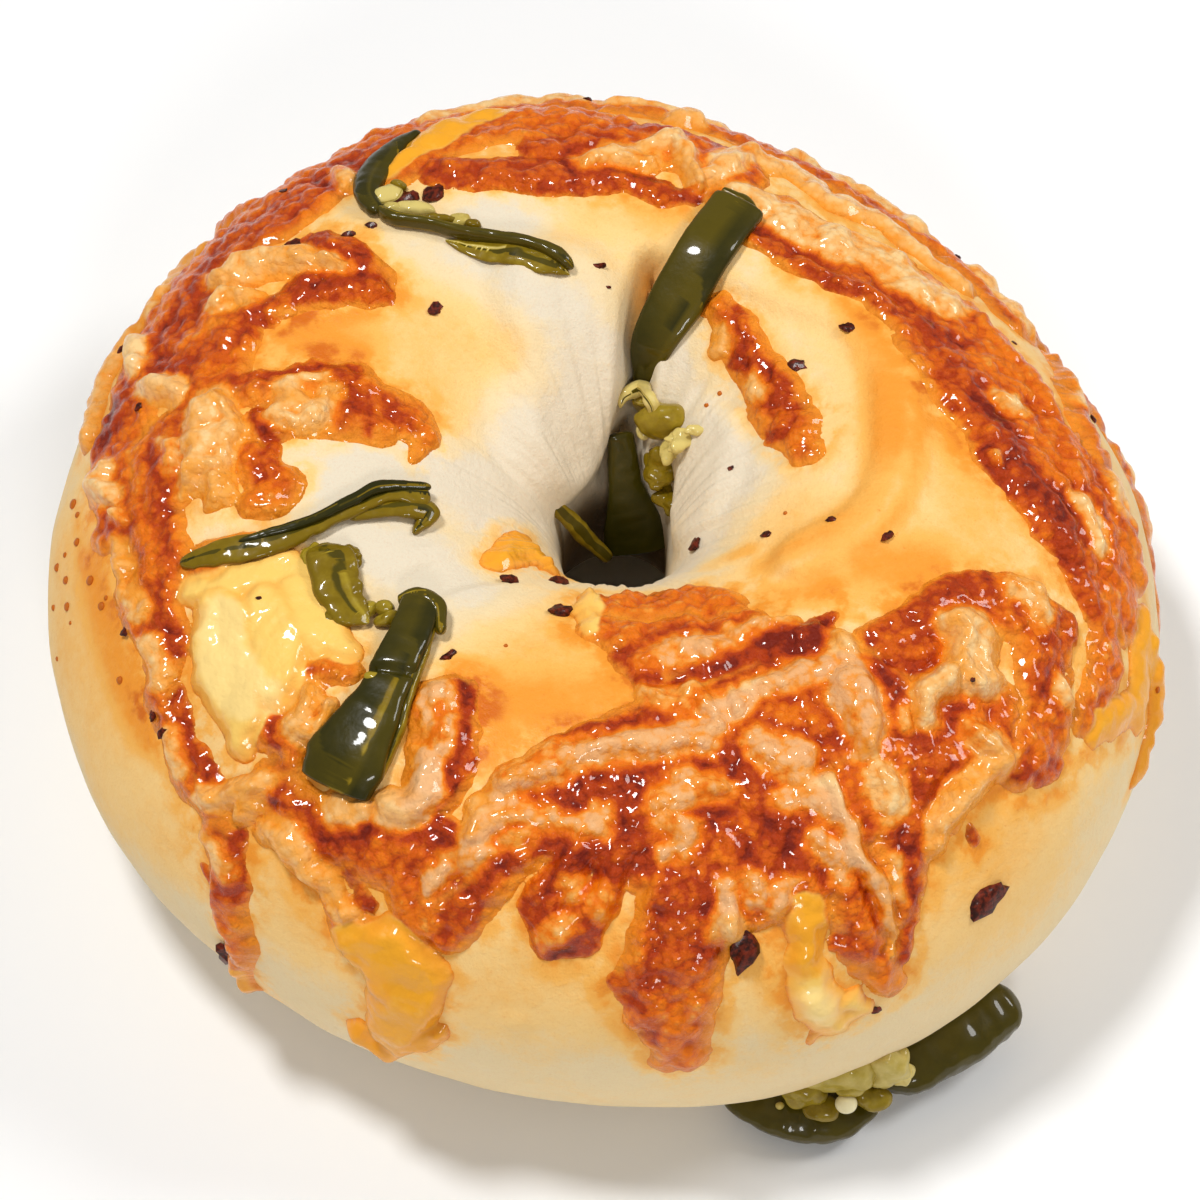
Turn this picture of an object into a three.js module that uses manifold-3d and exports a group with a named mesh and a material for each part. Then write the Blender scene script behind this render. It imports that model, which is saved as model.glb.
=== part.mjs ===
// A bagel with melted cheese and strips of green pepper baked onto its crust.
// Millimetres, +Z up. The bagel lies flat on z = 0, its hole points up, and the front is at -Y.

import * as THREE from 'three';
import { ImprovedNoise } from 'three/addons/math/ImprovedNoise.js';
import { mergeVertices } from 'three/addons/utils/BufferGeometryUtils.js';
import Module from 'manifold-3d';

// Places on the crust are given as a bearing and a lift, in degrees. The bearing goes round the
// hole's axis, counterclockwise from +X. The lift goes over the ring's section: 0 is the outer
// equator, 90 the crest, 180 the inside of the hole, and below 0 the underside.

// Driving dimensions of the dough ring
const HOLE_AXIS = new THREE.Vector2(1, 0.6);
const OUTER_RADII = [56, 53, 53.5, 58, 60, 59.5, 59, 58, 56.5, 57, 58.5, 57.5];
const HOLE_RADII = [5, 6, 9, 10.5, 8.5, 6.5, 5.5, 5, 4.5, 4, 4.5, 5];
const CREST_HEIGHTS = [43, 42, 42, 43, 44, 44, 44, 43, 43, 43, 43, 43];
const BELLY_SHARE = 0.44;
const UNDERSIDE_DEPTH = 1.2;
const ROUNDNESS = 0.95;
const BEARING_STEPS = 104;
const LIFT_STEPS = 38;
const TOP_BIAS = 0.3;

// Crust unevenness, and the gap that is kept between touching pieces
const CRUST_SWELL = 0.35;
const CRUST_SWELL_SIZE = 13;
const CHEESE_LUMPS = 0.5;
const CHEESE_LUMP_SIZE = 4.2;
const STROKE_SHOULDER = 0.55;
const CONTACT_GAP = 0.3;
const NORMAL_STEP = 0.5;

// Folds of the dough: the slit behind the hole, the lobe that leans over it, the browned swirl
// ridge on the right and the creases left of the hole. A negative height is a groove.
const DOUGH_FOLDS = [
  { along: [[90, 102], [88, 118], [87, 138], [86, 160]], halfWidth: 4, height: -3.6 },
  { along: [[104, 116], [108, 134], [113, 150]], halfWidth: 9, height: 3 },
  { along: [[62, 128], [52, 142]], halfWidth: 8, height: 1.2 },
  {
    along: [[65, 95], [48, 95], [22, 92], [0, 96], [-10, 98], [-25, 108], [-38, 125]],
    halfWidth: 4,
    height: 1.1,
  },
  { along: [[150, 150], [163, 128], [168, 112]], halfWidth: 2.5, height: -0.8 },
  { along: [[186, 160], [190, 138], [192, 118]], halfWidth: 3, height: -1 },
];

// Melted cheese: bands, blobs, strands and drips, from the back round by the left to the front
const CHEESE_STROKES = [
  { along: [[118, 58], [105, 60], [92, 58], [80, 56], [72, 55]], halfWidth: 6.5, height: 1.7 },
  { along: [[112, 82], [99, 86], [86, 79], [78, 74], [70, 66]], halfWidth: 5, height: 2 },
  { along: [[81, 44], [80, 38]], halfWidth: 2.6, height: 3.1 },
  { along: [[121, 61], [114, 68]], halfWidth: 4, height: 2.3 },
  { along: [[122, 52], [133, 50], [145, 44], [158, 40], [168, 38], [177, 40]], halfWidth: 5, height: 2 },
  { along: [[150, 64], [144, 72], [138, 78]], halfWidth: 5, height: 2.7 },
  { along: [[138, 84], [141, 92], [144, 97]], halfWidth: 4.5, height: 1.7 },
  { along: [[157, 60], [154, 75]], halfWidth: 3.5, height: 1.4 },
  { along: [[169, 64], [176, 70], [180, 82]], halfWidth: 6.5, height: 3 },
  {
    along: [[163, 78], [168, 88], [161, 94], [157, 102], [159, 110], [162, 117]],
    halfWidth: 3.4,
    height: 2.3,
  },
  { along: [[177, 42], [184, 47], [197, 47], [205, 47], [211, 44]], halfWidth: 5, height: 2.2 },
  { along: [[211, 44], [216, 39], [221, 34], [225, 26], [228, 12], [229, -8]], halfWidth: 4, height: 2.5 },
  { along: [[202, 70], [209, 64], [214, 62], [213, 72]], halfWidth: 8, height: 3.6 },
  { along: [[221, 62], [227, 54], [232, 50], [238, 54], [244, 62]], halfWidth: 5, height: 2.6 },
  { along: [[240, 90], [243, 82], [246, 74], [245, 66]], halfWidth: 4, height: 2.6 },
  { along: [[223, 45], [230, 43], [236, 37], [240, 29]], halfWidth: 3.2, height: 2.3 },
  { along: [[240, 46], [244, 32], [246, 20], [247, 6], [247, -8]], halfWidth: 6, height: 2.7 },
  { along: [[246, 50], [252, 42], [253, 34]], halfWidth: 5, height: 1.8 },
  { along: [[254, 69], [262, 74], [274, 78], [287, 80], [300, 80]], halfWidth: 8, height: 2.3 },
  { along: [[258, 62], [270, 65], [280, 64], [292, 62], [303, 60]], halfWidth: 7.5, height: 2.2 },
  { along: [[262, 54], [263, 44], [262, 38]], halfWidth: 3.4, height: 2.7 },
  { along: [[264, 122], [277, 117], [290, 118], [304, 114]], halfWidth: 6.5, height: 2 },
  { along: [[285, 102], [296, 94], [306, 88]], halfWidth: 6, height: 2 },
  { along: [[206, 138], [196, 150], [190, 160]], halfWidth: 3.8, height: 1.8 },
  { along: [[276, 56], [277, 44], [276, 30], [276, 16], [277, 8]], halfWidth: 5.6, height: 2.5 },
  { along: [[290, 50], [290, 36], [291, 20], [292, 6]], halfWidth: 3.8, height: 2.6 },
  { along: [[298, 50], [298, 34], [299, 18]], halfWidth: 4.6, height: 2 },
  {
    along: [[324, 86], [336, 76], [340, 64], [337, 52], [329, 45], [322, 42]],
    halfWidth: 5.4,
    height: 2.2,
  },
  { along: [[327, 72], [323, 62], [316, 66]], halfWidth: 6, height: 3 },
  { along: [[323, 56], [316, 51], [309, 47], [303, 43]], halfWidth: 3.8, height: 2.3 },
  { along: [[348, 14], [346, 4], [341, -2]], halfWidth: 3.2, height: 2.2 },
  {
    along: [[353, 44], [1, 54], [12, 64], [24, 68], [37, 72], [46, 76], [58, 76], [70, 74]],
    halfWidth: 6,
    height: 2.2,
  },
  {
    along: [[352, 42], [8, 38], [20, 35], [32, 38], [44, 40], [56, 44], [68, 50]],
    halfWidth: 5.6,
    height: 2.1,
  },
  { along: [[24, 28], [19, 28]], halfWidth: 3.4, height: 2.9 },
  { along: [[69, 106], [58, 110], [45, 113], [30, 114], [13, 115]], halfWidth: 4.2, height: 1.7 },
];

// Dark red flakes fused to the crust: bearing, lift and radius in millimetres
const FLAKE_FLATNESS = 0.6;
const FLAKE_RISE = 0.2;
const SHOWN_FLAKES = [
  [148, 104, 0.9], [104, 112, 0.7], [53, 94, 0.8], [46, 108, 0.9], [330, 104, 0.8], [223, 132, 1],
  [213, 138, 0.9], [232, 100, 0.8], [227, 14, 1.2], [283, 38, 1.5], [307, 32, 1.6], [131, 74, 0.9],
  [190, 46, 0.8], [215, 32, 0.8], [147, 66, 0.8], [344, 96, 0.7], [316, 122, 0.7], [22, 130, 0.6],
];
const SCATTERED_FLAKES = { count: 8, from: 20, to: 165, lowest: 15, highest: 50, radius: 0.9, seed: 7 };

const wasm = await Module();
wasm.setup();
const noise = new ImprovedNoise();

// Repeatable random numbers from 0 to 1
function seededRandom(seed) {
  let state = seed;
  return () => {
    state = (state * 16807) % 2147483647;
    return state / 2147483647;
  };
}

// A smooth closed curve through values that stand at equal steps round the ring
function roundRing(values, bearing) {
  const turn = (((bearing % 360) + 360) % 360) / 360 * values.length;
  const index = Math.floor(turn);
  const at = (step) => values[(index + step + values.length) % values.length];
  const t = turn - index;
  const cubic = (-at(-1) + 3 * at(0) - 3 * at(1) + at(2)) * t ** 3;
  const square = (2 * at(-1) - 5 * at(0) + 4 * at(1) - at(2)) * t ** 2;
  return 0.5 * (2 * at(0) + (at(1) - at(-1)) * t + square + cubic);
}

// The plain dough ring, before folds and cheese
function formPoint(bearing, lift) {
  const outer = roundRing(OUTER_RADII, bearing);
  const hole = roundRing(HOLE_RADII, bearing);
  const crest = roundRing(CREST_HEIGHTS, bearing);
  const belly = BELLY_SHARE * crest;
  const side = Math.cos(THREE.MathUtils.degToRad(lift));
  const rise = Math.sin(THREE.MathUtils.degToRad(lift));
  const reach = Math.sign(side) * Math.abs(side) ** ROUNDNESS;
  const radius = (outer + hole) / 2 + (outer - hole) / 2 * reach;
  const above = belly + (crest - belly) * Math.abs(rise) ** ROUNDNESS;
  const below = belly + UNDERSIDE_DEPTH * belly * rise;
  const turn = THREE.MathUtils.degToRad(bearing);
  return new THREE.Vector3(
    HOLE_AXIS.x + radius * Math.cos(turn),
    HOLE_AXIS.y + radius * Math.sin(turn),
    Math.max(rise > 0 ? above : below, 0),
  );
}

function formNormal(bearing, lift) {
  const here = formPoint(bearing, lift);
  const round = formPoint(bearing + NORMAL_STEP, lift).sub(here);
  const over = formPoint(bearing, lift + NORMAL_STEP).sub(here);
  return round.cross(over).normalize();
}

// The straight stretches of a stroke, laid close to the crust
function layStroke({ along, halfWidth, height }) {
  const points = [];
  for (let i = 0; i + 1 < along.length; i += 1) {
    const [bearing, lift] = along[i];
    const [nextBearing, nextLift] = along[i + 1];
    const turn = ((nextBearing - bearing + 540) % 360) - 180;
    const pieces = Math.ceil(Math.max(Math.abs(turn), Math.abs(nextLift - lift)) / 6);
    for (let k = 0; k < pieces; k += 1) {
      const share = k / pieces;
      points.push(formPoint(bearing + turn * share, lift + (nextLift - lift) * share));
    }
  }
  points.push(formPoint(...along[along.length - 1]));
  const stretches = points.slice(1).map((end, i) => new THREE.Line3(points[i], end));
  return { stretches, halfWidth, height };
}

const laidFolds = DOUGH_FOLDS.map(layStroke);
const laidCheese = CHEESE_STROKES.map(layStroke);
const nearest = new THREE.Vector3();

// How high a stroke stands at a point: full over its middle, and none past its edge
function strokeHeight(stroke, point) {
  let distance = Infinity;
  for (const stretch of stroke.stretches) {
    stretch.closestPointToPoint(point, true, nearest);
    distance = Math.min(distance, nearest.distanceTo(point));
  }
  const inside = THREE.MathUtils.clamp(1 - distance / stroke.halfWidth, 0, 1);
  return stroke.height * THREE.MathUtils.smoothstep(inside, 0, STROKE_SHOULDER);
}

function patternAt(point, size) {
  return noise.noise(point.x / size, point.y / size, point.z / size);
}

// Height of folds, swell and cheese over the plain form
function reliefAt(point) {
  const folds = laidFolds.reduce((sum, fold) => sum + strokeHeight(fold, point), 0);
  const cheese = Math.max(...laidCheese.map((stroke) => strokeHeight(stroke, point)));
  const lumps = CHEESE_LUMPS * patternAt(point, CHEESE_LUMP_SIZE) * Math.min(cheese, 1);
  const swell = CRUST_SWELL * patternAt(point, CRUST_SWELL_SIZE);
  const offFloor = THREE.MathUtils.smoothstep(point.z, 0, 6);
  return (folds + cheese + lumps + swell) * offFloor;
}

function crustPoint(bearing, lift, rise = 0) {
  const point = formPoint(bearing, lift);
  const height = reliefAt(point) + rise;
  return point.addScaledVector(formNormal(bearing, lift), height);
}

// The ring with its folds and cheese: a torus whose vertices go to their places on the crust.
// The lifts are closer together on the upper side, where the cheese is.
function ringGeometry() {
  const geometry = new THREE.TorusGeometry(2, 1, LIFT_STEPS, BEARING_STEPS);
  const position = geometry.getAttribute('position');
  const uv = geometry.getAttribute('uv');
  for (let i = 0; i < position.count; i += 1) {
    const turn = (uv.getY(i) % 1) * 360;
    const lift = turn + THREE.MathUtils.radToDeg(TOP_BIAS) * Math.cos(THREE.MathUtils.degToRad(turn));
    const bearing = (uv.getX(i) % 1) * 360;
    position.setXYZ(i, ...crustPoint(bearing, lift));
  }
  return geometry;
}

// A closed geometry with only positions, its shared vertices merged
function weld(geometry) {
  geometry.deleteAttribute('normal');
  geometry.deleteAttribute('uv');
  return mergeVertices(geometry, 1e-4);
}

function toSolid(geometry) {
  const welded = weld(geometry);
  return new wasm.Manifold(new wasm.Mesh({
    numProp: 3,
    vertProperties: new Float32Array(welded.getAttribute('position').array),
    triVerts: new Uint32Array(welded.index.array),
  }));
}

function toGeometry(solid) {
  const { vertProperties, triVerts } = solid.getMesh();
  const geometry = new THREE.BufferGeometry();
  geometry.setAttribute('position', new THREE.BufferAttribute(new Float32Array(vertProperties), 3));
  geometry.setIndex(new THREE.BufferAttribute(new Uint32Array(triVerts), 1));
  geometry.computeVertexNormals();
  return geometry;
}

// The main body of a cut, without loose scraps
function largestBody(solid) {
  return solid.decompose().reduce((main, body) => (body.volume() > main.volume() ? body : main));
}

// A place on the crust for a strip to pass, with the way out of the crust there
function onCrust([bearing, lift, rise]) {
  return { at: crustPoint(bearing, lift, rise), facing: formNormal(bearing, lift) };
}

// A place in the open, measured from the hole's axis and the floor
function inOpen([x, y, z], [outX, outY, outZ]) {
  return {
    at: new THREE.Vector3(HOLE_AXIS.x + x, HOLE_AXIS.y + y, z),
    facing: new THREE.Vector3(outX, outY, outZ).normalize(),
  };
}

function alongList(values, share) {
  const at = share * (values.length - 1);
  const index = Math.min(Math.floor(at), values.length - 2);
  return THREE.MathUtils.lerp(values[index], values[index + 1], at - index);
}

// A strip with an oval section that follows a route. A cylinder is bent to it: its height runs
// along the route, its section takes the half width and half thickness. Grow thickens the whole
// strip, for the seat that it lies in.
function stripGeometry({ route, halfWidths, halfThickness, steps = 12, sides = 8 }, grow) {
  const middle = new THREE.CatmullRomCurve3(route.map((stop) => stop.at));
  const outside = new THREE.CatmullRomCurve3(route.map((stop) => stop.at.clone().add(stop.facing)));
  const geometry = new THREE.CylinderGeometry(1, 1, 1, sides, steps);
  const position = geometry.getAttribute('position');
  for (let i = 0; i < position.count; i += 1) {
    const share = THREE.MathUtils.clamp(position.getY(i) + 0.5, 0, 1);
    const centre = middle.getPoint(share);
    const tangent = middle.getTangent(share);
    const facing = outside.getPoint(share).sub(centre).normalize();
    const across = tangent.clone().cross(facing).normalize();
    const up = across.clone().cross(tangent).normalize();
    const atEnd = share < 1e-6 ? -1 : Number(share > 1 - 1e-6);
    const taper = atEnd === 0 ? 1 : 0.75;
    const width = (alongList(halfWidths, share) * taper + grow) * position.getX(i);
    const height = (halfThickness * taper + grow) * position.getZ(i);
    centre.addScaledVector(across, width).addScaledVector(up, height).addScaledVector(tangent, atEnd * grow);
    position.setXYZ(i, ...centre);
  }
  return geometry;
}

// A rounded lump of pepper flesh or a seed
function lumpGeometry({ centre, radii, turn = 0, detail = 1 }, grow) {
  const geometry = new THREE.IcosahedronGeometry(1, detail);
  geometry.scale(...radii.map((radius) => radius + grow));
  geometry.rotateZ(THREE.MathUtils.degToRad(turn));
  geometry.translate(HOLE_AXIS.x + centre[0], HOLE_AXIS.y + centre[1], centre[2]);
  return geometry;
}

function stripSolid(strip, grow = 0) {
  return toSolid(stripGeometry(strip, grow));
}

function clusterSolid(lumps, grow = 0) {
  return lumps.map((lump) => toSolid(lumpGeometry(lump, grow))).reduce((all, lump) => all.add(lump));
}

function flakeSolid([bearing, lift, radius]) {
  const geometry = new THREE.IcosahedronGeometry(radius, 0);
  geometry.scale(1, 0.8, FLAKE_FLATNESS);
  geometry.rotateZ(THREE.MathUtils.degToRad(bearing * 3 + lift));
  const upright = new THREE.Vector3(0, 0, 1);
  geometry.applyQuaternion(new THREE.Quaternion().setFromUnitVectors(upright, formNormal(bearing, lift)));
  geometry.translate(...crustPoint(bearing, lift, radius * FLAKE_FLATNESS * FLAKE_RISE));
  return toSolid(geometry);
}

// Flakes on the side that the picture doesn't show, spread at random
function scatteredFlakes({ count, from, to, lowest, highest, radius, seed }) {
  const random = seededRandom(seed);
  return Array.from({ length: count }, (_, i) => [
    from + (to - from) * (i + random()) / count,
    lowest + (highest - lowest) * random(),
    radius * (0.8 + 0.4 * random()),
  ]);
}

// Pepper strips that lie on the crust
const CURL_BACK = {
  route: [[114, 47, 0.6], [119, 51, 0.7], [125, 62, 0.8], [128, 71, 0.8], [129, 80, 0.8], [124, 88, 0.8],
    [119, 93, 0.8], [113, 98, 0.8], [107, 103, 0.7], [101, 111, 0.5]].map(onCrust),
  halfWidths: [0.8, 0.9, 0.9, 0.8, 1, 1],
  halfThickness: 1.6,
  steps: 20,
};
const STRIP_FOLD = {
  route: [[68, 79, 0.9], [71, 89, 0.7], [75, 100, 0.9], [79, 112, 1.1], [81, 124, 1.2], [83, 134, 1.4]]
    .map(onCrust),
  halfWidths: [2.8, 2.8, 2.9, 2.7, 2, 1.4],
  halfThickness: 0.9,
};
const STRIP_LEFT = {
  route: [[194, 62, 0.5], [195, 79, 0.8], [192, 96, 0.8], [188, 107, 0.8], [187, 118, 0.8], [194, 117, 0.6]]
    .map(onCrust),
  halfWidths: [1, 1.1, 1.1, 0.9, 0.8],
  halfThickness: 1.3,
  steps: 16,
};
const CHUNK_LEFT = {
  route: [[200, 90, 0.9], [206, 94, 1.1], [212, 93, 1], [217, 90, 0.5]].map(onCrust),
  halfWidths: [1.9, 2.4, 2.1, 1.5],
  halfThickness: 1.5,
  steps: 8,
};
const STRIP_FRONT = {
  route: [[219, 101, 0.9], [224, 95, 1.4], [229, 88, 1.2], [231, 79, 1.4], [232, 68, 1.2], [232, 57, 1]]
    .map(onCrust),
  halfWidths: [2.8, 2.6, 2.4, 2.6, 3.2, 3.8],
  halfThickness: 1.1,
};

// Pepper in the hole: a strip that leans on the back wall, a thin sliver across it, and the
// core with its seeds above the strip
const STRIP_HOLE = {
  route: [
    inOpen([0.4, 12.6, 30.6], [0.3, -0.9, 0.4]),
    inOpen([1, 9.4, 26], [0.2, -0.9, 0.5]),
    inOpen([1.8, 7.2, 21.5], [0.1, -0.8, 0.6]),
    inOpen([2.2, 5.8, 18.5], [0, -0.7, 0.7]),
  ],
  halfWidths: [1.3, 1.6, 2.8, 3.2],
  halfThickness: 0.8,
  steps: 8,
};
const SLIVER_HOLE = {
  route: [
    inOpen([-7.4, 4.9, 29.5], [0.5, -0.5, 0.7]),
    inOpen([-5, 4.6, 26.5], [0.4, -0.6, 0.7]),
    inOpen([-2.9, 4.3, 23], [0.3, -0.6, 0.7]),
    inOpen([-0.6, 3.9, 20], [0.1, -0.6, 0.8]),
  ],
  halfWidths: [0.7, 0.9, 0.9, 0.6],
  halfThickness: 0.5,
  steps: 6,
  sides: 6,
};
const CORE_HOLE = [
  { centre: [4.8, 12.4, 32.6], radii: [2.8, 1.6, 2.6], turn: -10 },
  { centre: [2.2, 13, 34.4], radii: [1.6, 1.4, 1.4] },
  { centre: [6.6, 11.6, 31.6], radii: [1.9, 1.3, 2], turn: -25 },
  { centre: [4.6, 10, 28.4], radii: [1.3, 1.2, 2.6], turn: 10 },
  { centre: [3.4, 10.8, 31], radii: [0.8, 0.7, 0.6], detail: 0 },
];

// Pepper that sticks out from under the front edge: two skins of one slice, flesh and a seed
// between them
const HALF_RIGHT = {
  route: [
    inOpen([28, -48.4, 4.4], [0.5, -0.6, 0.6]),
    inOpen([32, -46.2, 4.8], [0.5, -0.6, 0.6]),
    inOpen([36, -43.4, 5], [0.5, -0.6, 0.6]),
    inOpen([39, -41, 5], [0.6, -0.5, 0.6]),
  ],
  halfWidths: [2.6, 3.1, 3.1, 2.3],
  halfThickness: 2.3,
  steps: 8,
  sides: 10,
};
const HALF_LEFT = {
  route: [
    inOpen([11.6, -50.6, 3.2], [0, -0.5, 0.8]),
    inOpen([16, -51.8, 3.2], [0, -0.5, 0.8]),
    inOpen([20.4, -52.4, 3], [0.1, -0.5, 0.8]),
    inOpen([25.2, -51.6, 2.8], [0.2, -0.5, 0.8]),
  ],
  halfWidths: [1.6, 2.7, 2.8, 1.8],
  halfThickness: 1.6,
  steps: 8,
  sides: 10,
};
const FLESH_FRONT = [
  { centre: [18.2, -49.6, 6.4], radii: [2.8, 2, 1.8], turn: 10 },
  { centre: [22, -50.4, 6.4], radii: [2.4, 2, 1.9] },
  { centre: [22.4, -52.2, 6.6], radii: [1.2, 1.1, 1.1] },
  { centre: [25.6, -49.6, 7.6], radii: [2.2, 1.7, 2.8], turn: 30 },
];

const PEPPER_SKIN = { color: 0x3c4a12, roughness: 0.25, metalness: 0 };
const PEPPER_FLESH = { color: 0x8c8a2c, roughness: 0.45, metalness: 0 };
const CRUST = { color: 0xe9b878, roughness: 0.6, metalness: 0 };

const pieces = [
  { name: 'pepper_curl_back', solid: (grow) => stripSolid(CURL_BACK, grow), finish: PEPPER_SKIN },
  { name: 'pepper_strip_fold', solid: (grow) => stripSolid(STRIP_FOLD, grow), finish: PEPPER_SKIN },
  { name: 'pepper_strip_hole', solid: (grow) => stripSolid(STRIP_HOLE, grow), finish: PEPPER_SKIN },
  { name: 'pepper_sliver_hole', solid: (grow) => stripSolid(SLIVER_HOLE, grow), finish: PEPPER_FLESH },
  { name: 'pepper_core_hole', solid: (grow) => clusterSolid(CORE_HOLE, grow), finish: PEPPER_FLESH },
  { name: 'pepper_strip_left', solid: (grow) => stripSolid(STRIP_LEFT, grow), finish: PEPPER_SKIN },
  { name: 'pepper_chunk_left', solid: (grow) => stripSolid(CHUNK_LEFT, grow), finish: PEPPER_FLESH },
  { name: 'pepper_strip_front', solid: (grow) => stripSolid(STRIP_FRONT, grow), finish: PEPPER_SKIN },
  { name: 'pepper_half_right', solid: (grow) => stripSolid(HALF_RIGHT, grow), finish: PEPPER_SKIN },
  { name: 'pepper_half_left', solid: (grow) => stripSolid(HALF_LEFT, grow), finish: PEPPER_SKIN },
  { name: 'pepper_flesh_front', solid: (grow) => clusterSolid(FLESH_FRONT, grow), finish: PEPPER_FLESH },
];

function makeMesh(name, solid, finish) {
  const mesh = new THREE.Mesh(toGeometry(solid), new THREE.MeshStandardMaterial(finish));
  mesh.name = name;
  return mesh;
}

// Each piece is cut back from the pieces before it, and the crust from all of them
function buildBagel() {
  const group = new THREE.Group();
  const seats = [];
  for (const piece of pieces) {
    const solid = seats.reduce((rest, seat) => rest.subtract(seat), piece.solid(0));
    group.add(makeMesh(piece.name, largestBody(solid), piece.finish));
    seats.push(piece.solid(CONTACT_GAP));
  }
  const flakes = [...SHOWN_FLAKES, ...scatteredFlakes(SCATTERED_FLAKES)].map(flakeSolid);
  const crusted = flakes.reduce((ring, flake) => ring.add(flake), toSolid(ringGeometry()));
  const bagel = seats.reduce((ring, seat) => ring.subtract(seat), crusted);
  group.add(makeMesh('bagel', largestBody(bagel), CRUST));
  return group;
}

export default buildBagel();
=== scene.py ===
import math

import bmesh
import bpy
import numpy as np
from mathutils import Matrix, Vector


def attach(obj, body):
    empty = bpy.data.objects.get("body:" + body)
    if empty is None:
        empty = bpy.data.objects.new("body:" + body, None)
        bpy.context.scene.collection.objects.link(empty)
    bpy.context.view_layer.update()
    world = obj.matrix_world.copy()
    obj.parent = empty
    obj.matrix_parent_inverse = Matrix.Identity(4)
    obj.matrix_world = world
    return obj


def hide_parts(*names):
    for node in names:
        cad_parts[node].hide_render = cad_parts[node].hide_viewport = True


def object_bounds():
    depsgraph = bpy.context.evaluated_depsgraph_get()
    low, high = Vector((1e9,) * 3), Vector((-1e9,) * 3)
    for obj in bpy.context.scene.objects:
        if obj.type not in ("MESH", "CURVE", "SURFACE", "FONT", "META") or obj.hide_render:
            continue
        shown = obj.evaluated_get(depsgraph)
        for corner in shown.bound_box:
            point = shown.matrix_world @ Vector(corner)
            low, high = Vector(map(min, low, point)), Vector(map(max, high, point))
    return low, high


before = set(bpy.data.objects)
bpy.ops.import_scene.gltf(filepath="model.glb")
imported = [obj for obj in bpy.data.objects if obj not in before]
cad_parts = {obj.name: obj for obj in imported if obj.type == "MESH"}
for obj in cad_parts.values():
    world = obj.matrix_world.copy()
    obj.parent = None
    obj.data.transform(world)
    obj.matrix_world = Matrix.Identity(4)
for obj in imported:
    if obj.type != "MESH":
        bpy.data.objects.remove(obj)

CAD_BOX = [list(corner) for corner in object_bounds()]

bl_info = {
    "name": "Cheese and Pepper Bagel",
    "version": (1, 0, 0),
    "blender": (4, 5, 0),
    "location": "View3D > Sidebar > Bagel",
    "description": "Builds a bagel with melted cheese, green pepper strips and dark flakes",
    "category": "Add Mesh",
}

# The dough ring, in millimetres. A place on it is a bearing round the hole's axis, counterclockwise
# from +X, and a lift over the section: 0 the outer equator, 90 the crest, 180 inside the hole.
MM = 0.001
HOLE_AXIS = np.array([1.0, 0.6, 0.0])
OUTER_RADII = [56, 53, 53.5, 58, 60, 59.5, 59, 58, 56.5, 57, 58.5, 57.5]
HOLE_RADII = [5, 6, 9, 10.5, 8.5, 6.5, 5.5, 5, 4.5, 4, 4.5, 5]
CREST_HEIGHTS = [43, 42, 42, 43, 44, 44, 44, 43, 43, 43, 43, 43]
BELLY_SHARE = 0.44
UNDERSIDE_DEPTH = 1.2
ROUNDNESS = 0.95
CRUST_SWELL = 0.35
CRUST_SWELL_SIZE = 13.0
FINE_SWELL = 0.12
FINE_SWELL_SIZE = 4.0
STROKE_SHOULDER = 0.55
BOX_EASE = 1.5
# How far from a stroke its cheese, and the oil round it, is looked for, in millimetres
CHEESE_MARGIN = 3.0
STAIN_MARGIN = 6.0
# Cheese faces farther outside the cover than this are cut away
CUT_COVER = -0.25
LUMP_SIZE = 3.4
BLISTER_SIZE = 2.3
DROPLET_SIZE = 1.2
GRAIN_SIZE = 0.6
# Bearings where one cheese sector ends and the next begins
CHEESE_SECTORS = [-60, -15, 60, 130, 200, 250, 300]
SMOOTH_ANGLE = 65
FLAKE_ANGLE = 35
# Cells of the fine beads in the cheese material, in millimetres
BEAD_SIZE = 0.95
# Studio lights: place and width in metres
LIGHTS = {
    "key": ((-0.20, 0.05, 0.68), 0.13),
    "fill": ((0.45, 0.10, 0.5), 0.20),
    "front": ((0.05, -0.60, 0.45), 0.14),
}

# The photograph's camera: a pixel of its 1200 by 1200 frame, and the point it shows there
PHOTO_SIZE = 1200
PHOTO_ELEVATION = 56.0
PHOTO_DISTANCE = 430.0
PHOTO_PIXELS_PER_MM = 9.6
PHOTO_AIM_HEIGHT = 20.0
PHOTO_AIM_PIXEL = (616.0, 590.0)
PHOTO_CHEESE_RISE = 0.9
PHOTO_MAP_STEP = 0.5
PHOTO_MAP_LIFTS = (-50, 200)
PHOTO_FRONT_DEPTH = 6.0
PHOTO_NEAR_PIXELS = 6.0

# Folds of the dough: photo x, photo y of the stops, then half width and height in millimetres.
# A sharp fold has a V for its section, the others a rounded one.
DOUGH_FOLDS = [
    ("sharp", [(652, 262), (642, 300), (637, 340), (634, 380), (628, 430), (618, 480)], 2.7, -6.5),
    ("round", [(560, 300), (570, 380), (560, 440)], 9.0, 2.6),
    ("round", [(700, 450), (690, 500)], 7.0, 1.2),
    ("round", [(703, 250), (790, 284), (860, 312), (893, 360), (900, 420), (896, 475), (868, 517),
        (800, 550)], 4.0, 1.0),
    ("round", [(370, 600), (440, 570), (490, 560)], 3.0, -0.6),
    ("round", [(508, 1028), (513, 1028)], 1.3, 0.35),
]

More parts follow.
